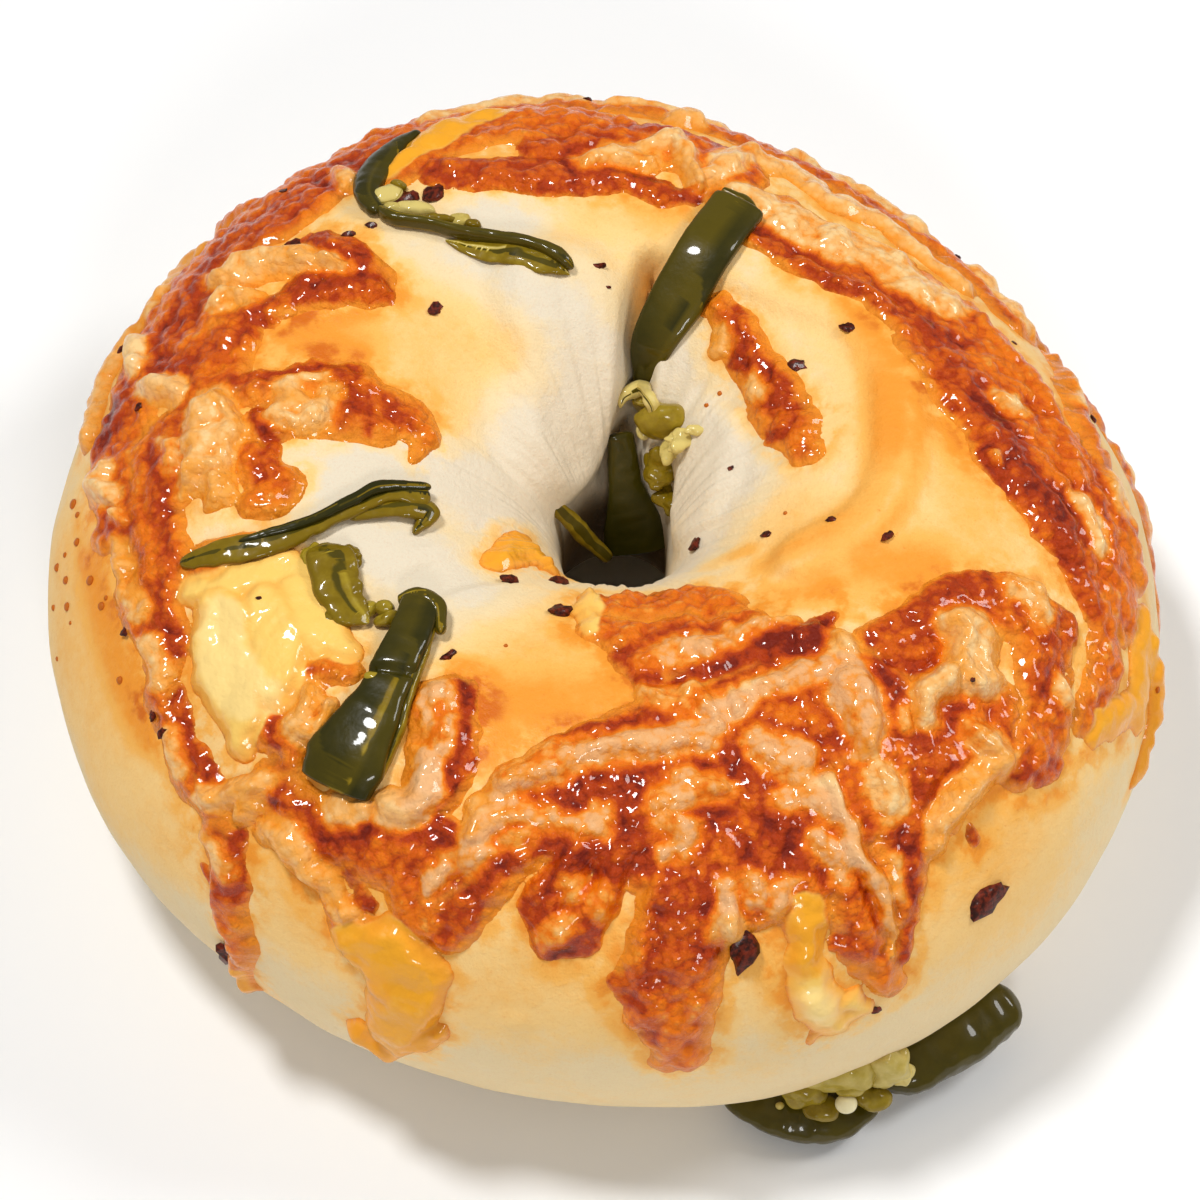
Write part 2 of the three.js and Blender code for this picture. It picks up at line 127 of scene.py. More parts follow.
# Cheese as the photograph shows it. Each stroke has a tone, a rise in millimetres and its stops:
# photo x, photo y and half width in millimetres.
TONES = ("melt", "rust", "red", "dark", "tan", "pale", "yellow", "gold")
CHEESE_SHOWN = [
    # Back band
    ("melt", 0.5, [(400, 165, 3), (450, 130, 4.5), (510, 118, 5), (570, 115, 5), (630, 130, 4), (690, 150, 4),
        (740, 165, 4)]),
    ("gold", 1.2, [(392, 170, 1.6), (420, 145, 2.3), (455, 126, 2.4), (500, 113, 2)]),
    ("melt", 0.9, [(470, 125, 2.6), (520, 112, 2.8), (575, 114, 2.8)]),
    ("red", 0.8, [(440, 166, 2), (480, 170, 2.8), (530, 172, 3), (570, 170, 3), (610, 175, 2.2),
        (650, 184, 1.6), (692, 192, 1.3)]),
    ("red", 0.5, [(540, 145, 2), (575, 140, 2), (600, 130, 1.6), (630, 124, 1.3), (665, 128, 1.3),
        (705, 136, 1.4), (742, 152, 1)]),
    ("tan", 1.6, [(585, 160, 1.6), (615, 152, 2.2), (645, 160, 2)]),
    ("tan", 2.0, [(645, 148, 1.3), (668, 140, 1.5), (684, 160, 1.7), (694, 184, 1.2)]),
    ("tan", 1.4, [(708, 170, 1.7), (730, 160, 2), (748, 150, 2)]),
    ("tan", 1.8, [(678, 117, 1.7), (694, 119, 1.6)]),
    # Right band
    ("melt", 0.5, [(740, 200, 4), (800, 235, 5), (860, 262, 5), (920, 300, 6), (980, 360, 7), (1030, 430, 7),
        (1080, 500, 7), (1115, 570, 5), (1130, 620, 3)]),
    ("red", 0.9, [(742, 225, 1.3), (775, 245, 1.6), (805, 265, 1.9), (845, 285, 2), (885, 300, 1.8),
        (918, 320, 2), (945, 348, 2.3), (965, 385, 2.6), (985, 417, 2.8), (1010, 452, 3), (1040, 497, 2.8),
        (1065, 537, 2.2), (1082, 575, 2), (1095, 605, 1.6)]),
    ("dark", 0.3, [(1020, 450, 1.2), (1040, 480, 1.8), (1055, 515, 1.4), (1068, 540, 1)]),
    ("dark", 0.2, [(980, 405, 1), (1000, 425, 1.2)]),
    ("dark", 0.2, [(925, 325, 1), (955, 335, 1.2), (975, 345, 0.8)]),
    ("tan", 1.1, [(735, 190, 2), (768, 208, 2.4), (802, 222, 2.6), (842, 238, 3), (882, 256, 3),
        (918, 284, 2.6), (950, 300, 2.2)]),
    ("tan", 1.0, [(752, 152, 2), (792, 165, 2.4), (832, 195, 2.3), (862, 206, 2.4), (898, 226, 2.1),
        (938, 258, 2), (972, 282, 2)]),
    ("melt", 1.0, [(975, 305, 2), (1003, 338, 2.3), (1032, 370, 2.4), (1052, 405, 2.2), (1068, 445, 2),
        (1084, 485, 2)]),
    ("tan", 1.6, [(1000, 395, 1.5), (1013, 400, 1.9)]),
    ("tan", 1.2, [(1000, 450, 0.6), (1002, 458, 0.6)]),
    ("tan", 1.0, [(1078, 500, 1.6), (1090, 520, 1.8), (1100, 545, 1.4)]),
    ("melt", 1.2, [(1060, 358, 1.5), (1073, 385, 1.8), (1086, 420, 2), (1100, 458, 2), (1116, 495, 2.1),
        (1130, 535, 2.1), (1142, 575, 1.8)]),
    ("tan", 1.0, [(1068, 372, 1), (1080, 400, 1.2)]),
    ("tan", 1.0, [(1112, 480, 1.2), (1124, 515, 1.3)]),
    ("melt", 0.8, [(1075, 430, 1), (1090, 475, 1.3), (1105, 515, 1.5), (1120, 570, 1.8)]),
    ("red", 0.4, [(1085, 450, 0.8), (1100, 485, 0.8)]),
    ("gold", 0.7, [(1150, 615, 1.5), (1150, 660, 3), (1140, 710, 2.4), (1110, 720, 2), (1095, 745, 1.2)]),
    ("melt", 0.6, [(1105, 620, 2.8), (1112, 660, 3), (1100, 700, 2.4), (1085, 730, 1.4)]),
    ("gold", 1.3, [(1153, 645, 1.3), (1160, 685, 1.7), (1156, 720, 1.6), (1148, 752, 1.5), (1138, 785, 0.9)]),
    # Patch beside the folded strip
    ("melt", 0.8, [(690, 306, 1.1), (716, 302, 1.9), (735, 330, 2.6), (746, 365, 2.6), (770, 397, 3),
        (790, 422, 3), (800, 446, 2)]),
    ("red", 0.5, [(735, 305, 0.8), (738, 335, 1.3), (735, 362, 1.3), (765, 375, 1), (778, 400, 1.6),
        (788, 420, 1.8), (772, 436, 1)]),
    ("tan", 0.8, [(716, 330, 1), (720, 345, 1.3)]),
    ("tan", 0.8, [(750, 385, 1.3), (758, 395, 1.2)]),
    # Upper left
    ("melt", 0.6, [(385, 158, 1.4), (350, 172, 2), (305, 195, 3), (265, 228, 3.8), (225, 248, 3.6),
        (190, 275, 3.4), (168, 305, 3), (150, 345, 3), (130, 385, 3), (112, 425, 3.4), (105, 470, 4),
        (110, 520, 4)]),
    ("red", 0.6, [(385, 153, 0.9), (345, 168, 1), (310, 190, 1.8), (282, 205, 2), (262, 228, 2.3),
        (232, 234, 2.2), (212, 262, 1.6), (192, 298, 1.6), (178, 322, 1.6), (165, 350, 1.6)]),
    ("tan", 1.4, [(332, 168, 1.2), (340, 180, 1.4)]),
    ("tan", 1.0, [(200, 245, 1), (175, 268, 1.4), (163, 290, 1.3)]),
    ("melt", 0.8, [(325, 238, 2.2), (350, 258, 2.6), (372, 282, 2.6), (300, 292, 2.2), (250, 312, 2.2),
        (225, 320, 2)]),
    ("melt", 0.6, [(235, 330, 3), (215, 365, 3), (195, 400, 3.4), (170, 430, 3.6), (165, 480, 3.6)]),
    ("melt", 0.5, [(215, 300, 3), (190, 340, 3), (160, 380, 3)]),
    ("tan", 2.1, [(218, 280, 2), (242, 268, 2.8), (282, 262, 2.6), (322, 262, 2), (345, 265, 1.2)]),
    ("tan", 1.9, [(222, 300, 2.2), (250, 297, 1.6)]),
    ("red", 0.8, [(260, 300, 1.1), (288, 292, 1.7), (312, 285, 1.9), (342, 284, 2.1), (370, 286, 1.8),
        (390, 290, 1)]),
    ("red", 0.6, [(345, 264, 0.8), (360, 256, 1.5), (348, 242, 1.6), (322, 236, 1.8), (308, 236, 1)]),
    ("red", 0.5, [(242, 326, 1.2), (255, 316, 1.3), (275, 316, 0.8)]),
    ("red", 0.6, [(155, 362, 1.4), (188, 362, 2), (215, 345, 1.8), (245, 334, 1.3)]),
    ("dark", 0.3, [(168, 326, 0.8), (188, 327, 1)]),
    ("melt", 0.6, [(190, 375, 2), (205, 390, 1.8), (250, 375, 1.6)]),
    ("pale", 1.8, [(135, 350, 1.8), (140, 362, 1.6)]),
    ("pale", 1.7, [(150, 384, 2), (168, 392, 1.7)]),
    ("dark", 0.2, [(112, 400, 1), (118, 415, 1.6), (108, 432, 1.4)]),
    ("red", 0.4, [(125, 390, 1.4), (112, 420, 2.4), (100, 442, 1.2)]),
    ("tan", 2.6, [(205, 400, 2.4), (215, 430, 3.2), (202, 462, 3), (188, 482, 2)]),
    ("tan", 1.8, [(212, 485, 2), (218, 500, 1.6)]),
    ("tan", 1.6, [(172, 440, 1.5), (168, 468, 1.4)]),
    ("melt", 0.9, [(245, 385, 2), (285, 380, 1.8), (320, 375, 2), (355, 378, 2.4), (385, 400, 2.6),
        (412, 415, 2.4), (424, 435, 1.8), (420, 455, 0.9)]),
    ("melt", 0.9, [(265, 420, 3), (300, 412, 2.6), (340, 412, 2.6), (380, 420, 2.2)]),
    ("red", 0.6, [(230, 376, 0.9), (256, 369, 1.3), (282, 369, 1), (302, 362, 1), (320, 360, 1.2),
        (334, 374, 1.2), (352, 374, 1.5), (362, 390, 1.5), (358, 410, 1.5), (362, 424, 1)]),
    ("red", 0.5, [(392, 408, 1.8), (405, 418, 1.4)]),
    ("red", 0.5, [(256, 408, 1), (262, 430, 1.2), (268, 448, 1.2), (265, 470, 1.6)]),
    ("tan", 1.5, [(286, 386, 1.5), (302, 396, 1.8), (272, 414, 1.5), (292, 416, 1.5)]),
    ("tan", 1.6, [(330, 392, 1.4), (318, 412, 2), (308, 425, 1.2)]),
    ("tan", 0.9, [(308, 375, 1), (318, 374, 0.9)]),
    ("melt", 0.8, [(245, 455, 2.2), (265, 478, 2.8), (288, 480, 2.2), (255, 500, 2.2)]),
    # Left side
    ("melt", 0.6, [(150, 450, 3), (145, 490, 3.4), (155, 530, 3.6), (155, 575, 3.4), (158, 615, 2.6),
        (160, 650, 2.2)]),
    ("red", 0.4, [(152, 455, 1.6), (155, 480, 1.4), (165, 540, 1.2), (165, 575, 1.2)]),
    ("tan", 1.8, [(105, 468, 2), (92, 488, 2), (108, 500, 1.6)]),
    ("red", 0.4, [(135, 518, 0.9), (126, 533, 0.9), (110, 534, 0.9)]),
    ("tan", 1.8, [(112, 520, 1.2), (116, 523, 1.2)]),
    ("tan", 1.6, [(113, 552, 1.6), (116, 565, 1.7)]),
    ("melt", 0.9, [(118, 585, 2), (128, 612, 2), (148, 640, 2.2), (152, 670, 2.4), (152, 700, 2.2),
        (164, 735, 2.2), (182, 775, 2.2), (205, 805, 2.4)]),
    ("tan", 1.4, [(118, 590, 1.3), (140, 612, 1.2)]),
    ("tan", 1.2, [(142, 650, 1.4), (155, 682, 1.4)]),
    ("tan", 1.3, [(165, 738, 1.2), (178, 768, 1.4)]),
    ("red", 0.4, [(160, 590, 1.2), (160, 622, 1.4), (166, 652, 1.2)]),
    ("red", 0.5, [(172, 700, 1), (182, 742, 1.3), (194, 757, 1.5), (208, 778, 1)]),
    ("dark", 0.1, [(140, 672, 0.7), (136, 690, 0.5)]),
    ("melt", 0.6, [(200, 560, 2), (250, 545, 1.6)]),
    ("yellow", 0.8, [(200, 590, 2.4), (240, 578, 2.8), (285, 570, 2.6), (320, 580, 2.2)]),
    ("yellow", 1.4, [(216, 605, 3), (220, 640, 4.5), (228, 675, 4.3), (240, 705, 3.8), (238, 735, 2.2)]),
    ("yellow", 1.3, [(262, 605, 3.4), (275, 640, 3.8), (268, 675, 3.6), (268, 700, 2.4)]),
    ("yellow", 1.0, [(300, 590, 3), (310, 625, 3.2), (340, 650, 2.2)]),
    ("pale", 0.2, [(215, 620, 2), (222, 660, 3), (240, 690, 3), (262, 700, 2)]),
    ("melt", 0.8, [(262, 728, 2), (280, 745, 2.2), (288, 770, 1.8), (250, 775, 1.8)]),
    ("red", 0.4, [(268, 722, 1.1), (278, 745, 1.2)]),
    ("melt", 0.7, [(300, 680, 2), (325, 672, 2), (345, 676, 1.8)]),
    ("tan", 1.8, [(305, 700, 1.6), (296, 732, 2), (312, 735, 2), (322, 712, 1.5)]),
    ("tan", 2.0, [(205, 795, 1.6), (230, 795, 1.8), (252, 785, 2), (240, 812, 1.7)]),
    ("tan", 2.0, [(262, 828, 1.6), (290, 845, 2), (305, 872, 2), (328, 890, 1.8), (345, 915, 1.5)]),
    ("melt", 0.8, [(270, 800, 2.2), (310, 835, 3), (350, 845, 3.4), (400, 850, 3.2), (440, 845, 3),
        (470, 850, 3), (500, 850, 2.6)]),
    ("red", 0.5, [(262, 800, 1.2), (285, 812, 1), (310, 830, 1.5), (340, 842, 1.6), (362, 838, 1.2)]),
    ("pale", 1.7, [(332, 815, 2), (350, 818, 1.6)]),
    ("pale", 2.0, [(380, 812, 2), (405, 812, 2.5), (425, 795, 2.2)]),
    ("melt", 0.8, [(440, 700, 3.4), (440, 740, 4), (430, 780, 4), (455, 770, 2)]),
    ("rust", 0.2, [(445, 695, 3), (440, 740, 4), (430, 780, 4)]),
    ("tan", 1.5, [(435, 692, 1.8), (440, 720, 2.2), (425, 750, 2.4), (420, 782, 2.2)]),
    ("red", 0.6, [(448, 680, 0.8), (470, 695, 1), (464, 730, 0.9), (464, 765, 1), (448, 790, 1),
        (425, 815, 1), (440, 830, 1.8)]),
    ("red", 0.3, [(440, 710, 0.9), (432, 735, 0.9)]),
    # Left drip
    ("melt", 1.4, [(215, 835, 2.4), (222, 865, 2.9), (222, 900, 2.8), (226, 935, 2.5), (234, 965, 2),
        (240, 985, 1.7)]),
    ("tan", 1.2, [(208, 845, 1.5), (228, 872, 1.5)]),
    ("red", 0.4, [(235, 840, 1.4), (238, 900, 1.3), (215, 905, 1), (200, 880, 0.8)]),
    ("gold", 1.2, [(238, 975, 1.4), (240, 992, 1.5)]),
    # Second drip
    ("melt", 0.9, [(322, 900, 1.7), (340, 930, 2), (365, 935, 2)]),
    ("melt", 0.9, [(395, 880, 2.2), (410, 915, 3), (435, 925, 3.2), (455, 915, 3), (480, 890, 2.8),
        (505, 865, 2.4), (530, 845, 2)]),
    ("gold", 1.6, [(350, 945, 2.2), (385, 955, 3.8), (412, 985, 3.6), (400, 1015, 3.6), (396, 1040, 3)]),
    ("yellow", 1.7, [(352, 960, 1.6), (378, 978, 2.2), (392, 1005, 2)]),
    ("gold", 1.5, [(362, 1040, 1.8), (385, 1052, 1.6), (420, 1045, 1.9), (436, 1040, 1.2)]),
    ("red", 0.5, [(345, 878, 1), (352, 896, 1), (362, 905, 0.6)]),
    ("red", 0.5, [(435, 945, 1), (462, 915, 2), (480, 885, 1.6), (510, 862, 1.3)]),
    ("tan", 1.4, [(428, 882, 1.2), (445, 866, 1.4), (470, 862, 1.9), (486, 854, 1.3)]),
    # Lobe beside it
    ("red", 1.2, [(575, 850, 2.2), (552, 880, 2), (540, 915, 2.4), (548, 940, 2.6), (570, 935, 2.4),
        (590, 905, 2.2), (608, 875, 2), (625, 850, 1.8)]),
    ("tan", 1.4, [(568, 885, 1.4), (572, 895, 1.3)]),
    ("tan", 1.5, [(588, 895, 1.4), (595, 908, 1.5)]),
    ("tan", 1.1, [(565, 925, 1.2), (545, 945, 1.3)]),
    # Front, base and strands
    ("melt", 0.6, [(520, 800, 3.6), (570, 780, 5), (640, 755, 6), (700, 735, 6.6), (760, 715, 7),
        (820, 690, 6.4), (860, 690, 5)]),
    ("melt", 0.6, [(530, 830, 3), (600, 830, 4), (680, 835, 6), (740, 835, 6.5), (800, 830, 6.5),
        (850, 810, 4.5), (870, 780, 4)]),
    ("melt", 0.6, [(690, 885, 5), (740, 880, 5.5), (790, 868, 5), (840, 870, 3)]),
    ("rust", 0.2, [(520, 800, 3), (570, 790, 4.5), (640, 775, 5.5), (700, 755, 6), (760, 740, 6),
        (820, 710, 6), (860, 690, 4)]),
    ("rust", 0.2, [(560, 835, 3.4), (620, 835, 4), (690, 850, 6), (750, 850, 6.5), (810, 840, 5),
        (850, 870, 4), (870, 920, 3)]),
    ("rust", 0.1, [(640, 650, 3), (700, 645, 3.4), (760, 640, 3)]),
    ("rust", 0.1, [(330, 850, 2.4), (380, 860, 3), (430, 870, 3.4), (480, 850, 3), (510, 830, 2.6)]),
    ("red", 0.7, [(500, 778, 0.9), (545, 748, 1.2), (590, 736, 1.3), (640, 717, 1.3), (690, 700, 1.2),
        (722, 685, 1.2)]),
    ("tan", 1.9, [(510, 782, 2), (542, 766, 2.4), (582, 757, 2), (620, 752, 2), (662, 742, 2.5),
        (700, 738, 2.2), (716, 728, 1.6)]),
    ("tan", 1.8, [(508, 802, 1.8), (488, 816, 2.3), (478, 832, 2)]),
    ("tan", 1.2, [(512, 812, 1.4), (545, 816, 1.3), (572, 822, 1.2)]),
    ("tan", 1.6, [(575, 835, 1.3), (598, 824, 2)]),
    ("red", 0.5, [(530, 845, 1.4), (560, 843, 2), (592, 852, 1.8)]),
    ("tan", 1.2, [(505, 842, 1.3), (518, 836, 1.4)]),
    ("red", 0.6, [(565, 795, 1.3), (610, 780, 1.6), (640, 790, 1.6), (620, 822, 1.3), (640, 870, 1)]),
    ("tan", 1.5, [(655, 802, 2), (682, 790, 2), (712, 790, 1.5)]),
    ("tan", 1.4, [(662, 820, 1.8), (680, 832, 1.7), (664, 848, 1.4)]),
    ("tan", 1.6, [(642, 690, 1.1), (680, 700, 1.8), (700, 690, 2), (708, 705, 1.8)]),
    ("pale", 1.7, [(738, 697, 2), (736, 716, 1.5)]),
    ("melt", 0.6, [(600, 600, 2.6), (640, 598, 3.2), (690, 596, 3.4), (725, 598, 2.4)]),
    ("melt", 0.8, [(600, 620, 2.6), (640, 632, 3), (690, 625, 3), (740, 615, 2.4)]),
    ("yellow", 0.7, [(588, 590, 1.4), (590, 625, 1.2)]),
    ("melt", 0.8, [(640, 660, 2.6), (690, 655, 3), (740, 640, 3), (790, 625, 2.4)]),
    ("tan", 1.5, [(640, 662, 1.5), (682, 650, 1.8), (722, 640, 1.8), (762, 624, 1.5), (792, 614, 1)]),
    ("red", 0.7, [(622, 650, 1.2), (640, 672, 1.7), (655, 695, 1.3), (700, 667, 1.1), (742, 650, 1.6),
        (790, 642, 2.3), (812, 628, 2.2), (832, 608, 1.3)]),
    ("dark", 0.2, [(770, 645, 1.2), (800, 638, 1.6), (820, 620, 1)]),
    ("tan", 1.3, [(762, 682, 1.5), (792, 676, 1.9), (818, 668, 1.9)]),
    ("tan", 1.4, [(838, 635, 1.8), (845, 660, 2)]),
    ("tan", 2.4, [(848, 690, 2.6), (855, 718, 2.7), (862, 742, 2)]),
    ("tan", 1.4, [(765, 752, 2), (792, 760, 2.2), (806, 776, 1.8)]),
    ("tan", 1.2, [(780, 800, 1.5), (815, 790, 1.8), (830, 815, 1.4)]),
    ("tan", 1.2, [(812, 842, 1.5), (846, 862, 1.7), (838, 880, 1.3)]),
    ("red", 0.6, [(730, 765, 1.4), (752, 790, 1.4), (772, 820, 1.6), (792, 855, 1.4)]),
    ("red", 0.5, [(700, 770, 1), (690, 812, 1), (720, 830, 1.6), (745, 850, 1.6)]),
    ("pale", 2.2, [(725, 925, 2.2), (722, 935, 1.9)]),
    ("tan", 1.3, [(720, 892, 1.5), (722, 905, 1.3)]),
    ("tan", 1.4, [(752, 882, 1.4), (758, 900, 1.4)]),
    ("tan", 1.5, [(780, 885, 1.4), (776, 905, 1.5)]),
    # Middle drip
    ("melt", 1.1, [(685, 905, 4.4), (675, 940, 5), (668, 975, 5.4), (672, 1010, 4.4), (676, 1040, 3.4),
        (680, 1062, 2.6)]),
    ("red", 0.6, [(680, 905, 2.6), (690, 945, 3), (655, 965, 2.4), (622, 985, 1.6), (640, 1012, 1.2),
        (652, 1038, 0.9)]),
    ("melt", 0.7, [(670, 1062, 2), (695, 1052, 1.8)]),
    # Right front drips
    ("melt", 1.0, [(800, 885, 2.2), (806, 920, 2.6)]),
    ("gold", 1.1, [(802, 905, 1.5), (806, 935, 2), (805, 965, 2.2)]),
    ("yellow", 1.0, [(806, 970, 2.2), (820, 1008, 2.8), (835, 1030, 2.2)]),
    ("yellow", 0.8, [(850, 1008, 1.9), (868, 1014, 1.3), (812, 1042, 1.2)]),
    ("pale", 1.3, [(815, 998, 1.9), (825, 1015, 1.6)]),
    ("melt", 1.0, [(842, 880, 2.2), (852, 920, 2.6), (862, 952, 2.6), (880, 976, 2), (900, 992, 1.4)]),
    ("red", 0.6, [(906, 850, 1.2), (910, 890, 0.9), (912, 930, 0.8), (904, 970, 0.9)]),
    ("tan", 0.8, [(893, 860, 0.8), (896, 900, 0.8)]),
    ("red", 0.4, [(842, 950, 1.2), (865, 960, 1.2)]),
    ("pale", 1.7, [(826, 782, 0.9), (849, 820, 0.9), (864, 855, 0.9), (876, 890, 0.8), (888, 928, 0.7),
        (897, 965, 0.4)]),
    # Right patch
    ("melt", 0.7, [(885, 635, 3), (915, 615, 3), (960, 600, 3.6), (1005, 600, 3.4), (1045, 625, 3.4),
        (1050, 680, 3.6), (1045, 740, 3.6), (1020, 770, 2.6)]),
    ("melt", 0.7, [(880, 680, 3), (890, 740, 3.4), (900, 800, 3.6), (910, 840, 3), (905, 880, 2.2),
        (905, 920, 1.6)]),
    ("melt", 0.6, [(940, 690, 4), (950, 740, 4), (985, 700, 4), (1000, 740, 3)]),
    ("red", 0.8, [(872, 640, 1), (895, 615, 1.8), (935, 600, 2), (962, 588, 2.2), (990, 582, 1.6),
        (1006, 572, 1)]),
    ("red", 0.8, [(895, 655, 2), (918, 645, 2.2)]),
    ("tan", 1.7, [(1010, 582, 1.7), (1032, 590, 1.9), (1042, 612, 1.7)]),
    ("red", 0.6, [(1062, 612, 1.2), (1076, 640, 1), (1050, 645, 1.2), (1034, 672, 1.2), (1034, 690, 1.2)]),
    ("tan", 2.7, [(950, 622, 2.4), (975, 635, 3.2), (968, 662, 3.2), (985, 680, 2.6)]),
    ("tan", 2.4, [(945, 675, 2.2), (925, 690, 2.2), (928, 712, 2)]),
    ("tan", 1.4, [(1058, 690, 1.6), (1066, 702, 1.4)]),
    ("red", 0.7, [(948, 712, 1.5), (972, 718, 1.7)]),
    ("red", 0.7, [(925, 750, 1.8), (942, 760, 2), (920, 782, 1.6)]),
    ("tan", 2.3, [(982, 728, 1.8), (1003, 755, 2), (985, 778, 1.8), (958, 795, 2.2), (945, 822, 2.2),
        (935, 845, 1.5)]),
    ("dark", 0.2, [(990, 787, 0.8), (1006, 780, 1)]),
    ("red", 0.5, [(1015, 768, 1.1), (1040, 778, 1.3), (1065, 772, 1.3)]),
    ("dark", 0.2, [(865, 655, 1.2), (882, 680, 1.3), (888, 700, 1)]),
    ("dark", 0.2, [(905, 830, 1.6), (915, 845, 1.5)]),
    ("tan", 1.7, [(880, 778, 1.8), (886, 800, 2)]),
    ("tan", 1.0, [(898, 712, 1.1), (902, 720, 1)]),
    # Left of the hole, and a loose spot
    ("gold", 0.8, [(498, 553, 1.6), (516, 543, 2.4), (536, 548, 2.9), (552, 560, 2.2)]),
    ("red", 0.5, [(976, 829, 0.6), (979, 843, 0.8)]),
]

# Cheese on the side that the photograph doesn't show: tone, rise, and bearing, lift, half width
CHEESE_HIDDEN = [
    ("melt", 0.5, [(112, 52, 4), (124, 50, 4.6), (138, 48, 4.8), (152, 47, 4.6), (166, 48, 4),
        (178, 50, 3.4)]),
    ("red", 0.4, [(118, 54, 1.8), (128, 54, 2), (138, 52, 1.8)]),
    ("red", 0.4, [(146, 52, 1.6), (156, 54, 1.8)]),
    ("melt", 0.7, [(118, 46, 3), (105, 44, 4), (92, 42, 4), (80, 42, 4), (68, 40, 4.5), (56, 38, 4.5),
        (44, 34, 4), (32, 32, 4)]),
    ("melt", 0.6, [(52, 32, 3), (42, 27, 3.6), (32, 20, 4), (22, 13, 4), (12, 8, 3.8), (3, 4, 3.2),
        (-4, 1, 2.4)]),
    ("tan", 0.9, [(46, 26, 1.4), (38, 21, 1.6), (30, 15, 1.4)]),
    ("tan", 0.9, [(20, 12, 1.4), (12, 9, 1.6), (5, 7, 1.4)]),
    ("red", 0.3, [(36, 27, 1), (27, 20, 1.2), (18, 15, 1)]),
    ("melt", 1.0, [(97, 44, 3), (97, 28, 2.6), (98, 14, 2.2)]),
    ("yellow", 1.0, [(98, 18, 1.8), (98, 8, 1.7)]),
    ("melt", 0.9, [(62, 40, 3), (61, 24, 2.8), (60, 14, 2)]),
    ("melt", 0.8, [(134, 46, 3), (136, 30, 2.4), (136, 22, 1.8)]),
    ("tan", 1.5, [(112, 46, 1.8), (100, 42, 2), (90, 44, 1.8), (78, 40, 2)]),
    ("tan", 1.5, [(68, 38, 2), (57, 35, 2), (48, 37, 1.8)]),
    ("tan", 1.4, [(40, 34, 1.8), (30, 32, 1.8)]),
    ("tan", 1.3, [(150, 38, 1.8), (160, 32, 1.8), (170, 34, 1.6)]),
    ("red", 0.5, [(106, 36, 1.4), (94, 34, 1.6), (84, 34, 1.2)]),
    ("red", 0.5, [(64, 30, 1.4), (52, 30, 1.4), (38, 28, 1.2)]),
]

# Tints of the bare dough: photo x, photo y and reach in millimetres
DOUGH_WHITE = [
    [(415, 245, 3), (470, 262, 4), (530, 290, 4.5), (580, 330, 5), (585, 400, 7), (560, 460, 7),
        (520, 440, 6)],
    [(330, 470, 5), (390, 460, 5), (450, 470, 6), (500, 500, 6)],
    [(360, 540, 4), (420, 560, 6), (470, 590, 5), (430, 640, 3)],
    [(670, 350, 3), (685, 420, 5), (715, 480, 6), (745, 470, 4), (700, 530, 4)],
    [(480, 210, 3), (520, 215, 3)],
    [(650, 400, 7), (640, 480, 7), (600, 560, 5)],
]
DOUGH_GOLDEN = [
    [(60, 560, 6), (62, 640, 7), (80, 720, 7), (110, 790, 6)],
    [(250, 340, 4), (300, 325, 5), (350, 330, 6), (410, 340, 6), (450, 370, 5)],
    [(400, 280, 4), (430, 310, 5), (470, 350, 5), (460, 400, 4)],
    [(600, 205, 2.5), (660, 212, 2.5)],
    [(790, 290, 2.5), (850, 315, 3.5), (885, 360, 4), (890, 430, 3.5)],
    [(945, 430, 3), (965, 480, 4), (995, 540, 5)],
    [(440, 650, 4), (500, 655, 5), (560, 655, 5), (600, 670, 4)],
    [(450, 690, 4), (520, 700, 6), (600, 700, 6)],
    [(480, 640, 5), (540, 645, 6), (590, 660, 5)],
    [(860, 560, 5), (910, 550, 6), (900, 590, 4)],
    [(540, 960, 8), (600, 975, 7)],
    [(560, 930, 7), (520, 980, 7), (600, 960, 7), (480, 1000, 6)],
    [(960, 820, 6), (1020, 820, 7), (990, 880, 8), (940, 900, 6)],
    [(80, 600, 6), (90, 680, 7), (110, 760, 7), (150, 840, 5)],
    [(300, 880, 6), (290, 930, 5)],
    [(720, 530, 5), (790, 520, 5)],
    [(770, 950, 3), (780, 1010, 3)],
]
DOUGH_AMBER = [
    [(855, 318, 1.6), (878, 350, 2), (888, 400, 2.2), (882, 460, 2.4), (860, 505, 2.2), (820, 535, 1.8),
        (760, 560, 1.6)],
    [(905, 330, 0.7), (918, 380, 0.9), (918, 440, 1), (903, 500, 1), (868, 545, 1)],
    [(470, 690, 3), (540, 700, 3.6), (600, 692, 3.4), (640, 705, 2)],
    [(500, 735, 2), (470, 760, 2)],
    [(820, 580, 2.6), (770, 590, 2)],
    [(870, 560, 3), (930, 560, 3)],
    [(310, 330, 3), (350, 345, 3)],
    [(945, 370, 1.4), (985, 430, 1.6), (1035, 510, 1.6), (1075, 580, 1.4)],
    [(740, 545, 1.2), (700, 560, 1.2)],
    [(80, 560, 2), (95, 620, 2.4), (120, 690, 2.4), (140, 740, 2)],
]

# Small browned crumbs: photo x, photo y and radius in millimetres
CRUMBS_SHOWN = [
    (65, 502, 0.6), (70, 512, 0.4), (68, 540, 0.5), (57, 553, 0.35), (50, 567, 0.5), (58, 580, 0.5),
    (83, 578, 0.55),
    (94, 604, 0.5), (60, 607, 0.5), (46, 608, 0.4), (97, 596, 0.3), (48, 660, 0.3), (112, 680, 0.45),
    (62, 622, 0.25),
    (1165, 662, 0.4), (1158, 690, 0.4), (715, 392, 0.3), (705, 405, 0.3), (505, 640, 0.25), (780, 508, 0.25),
]

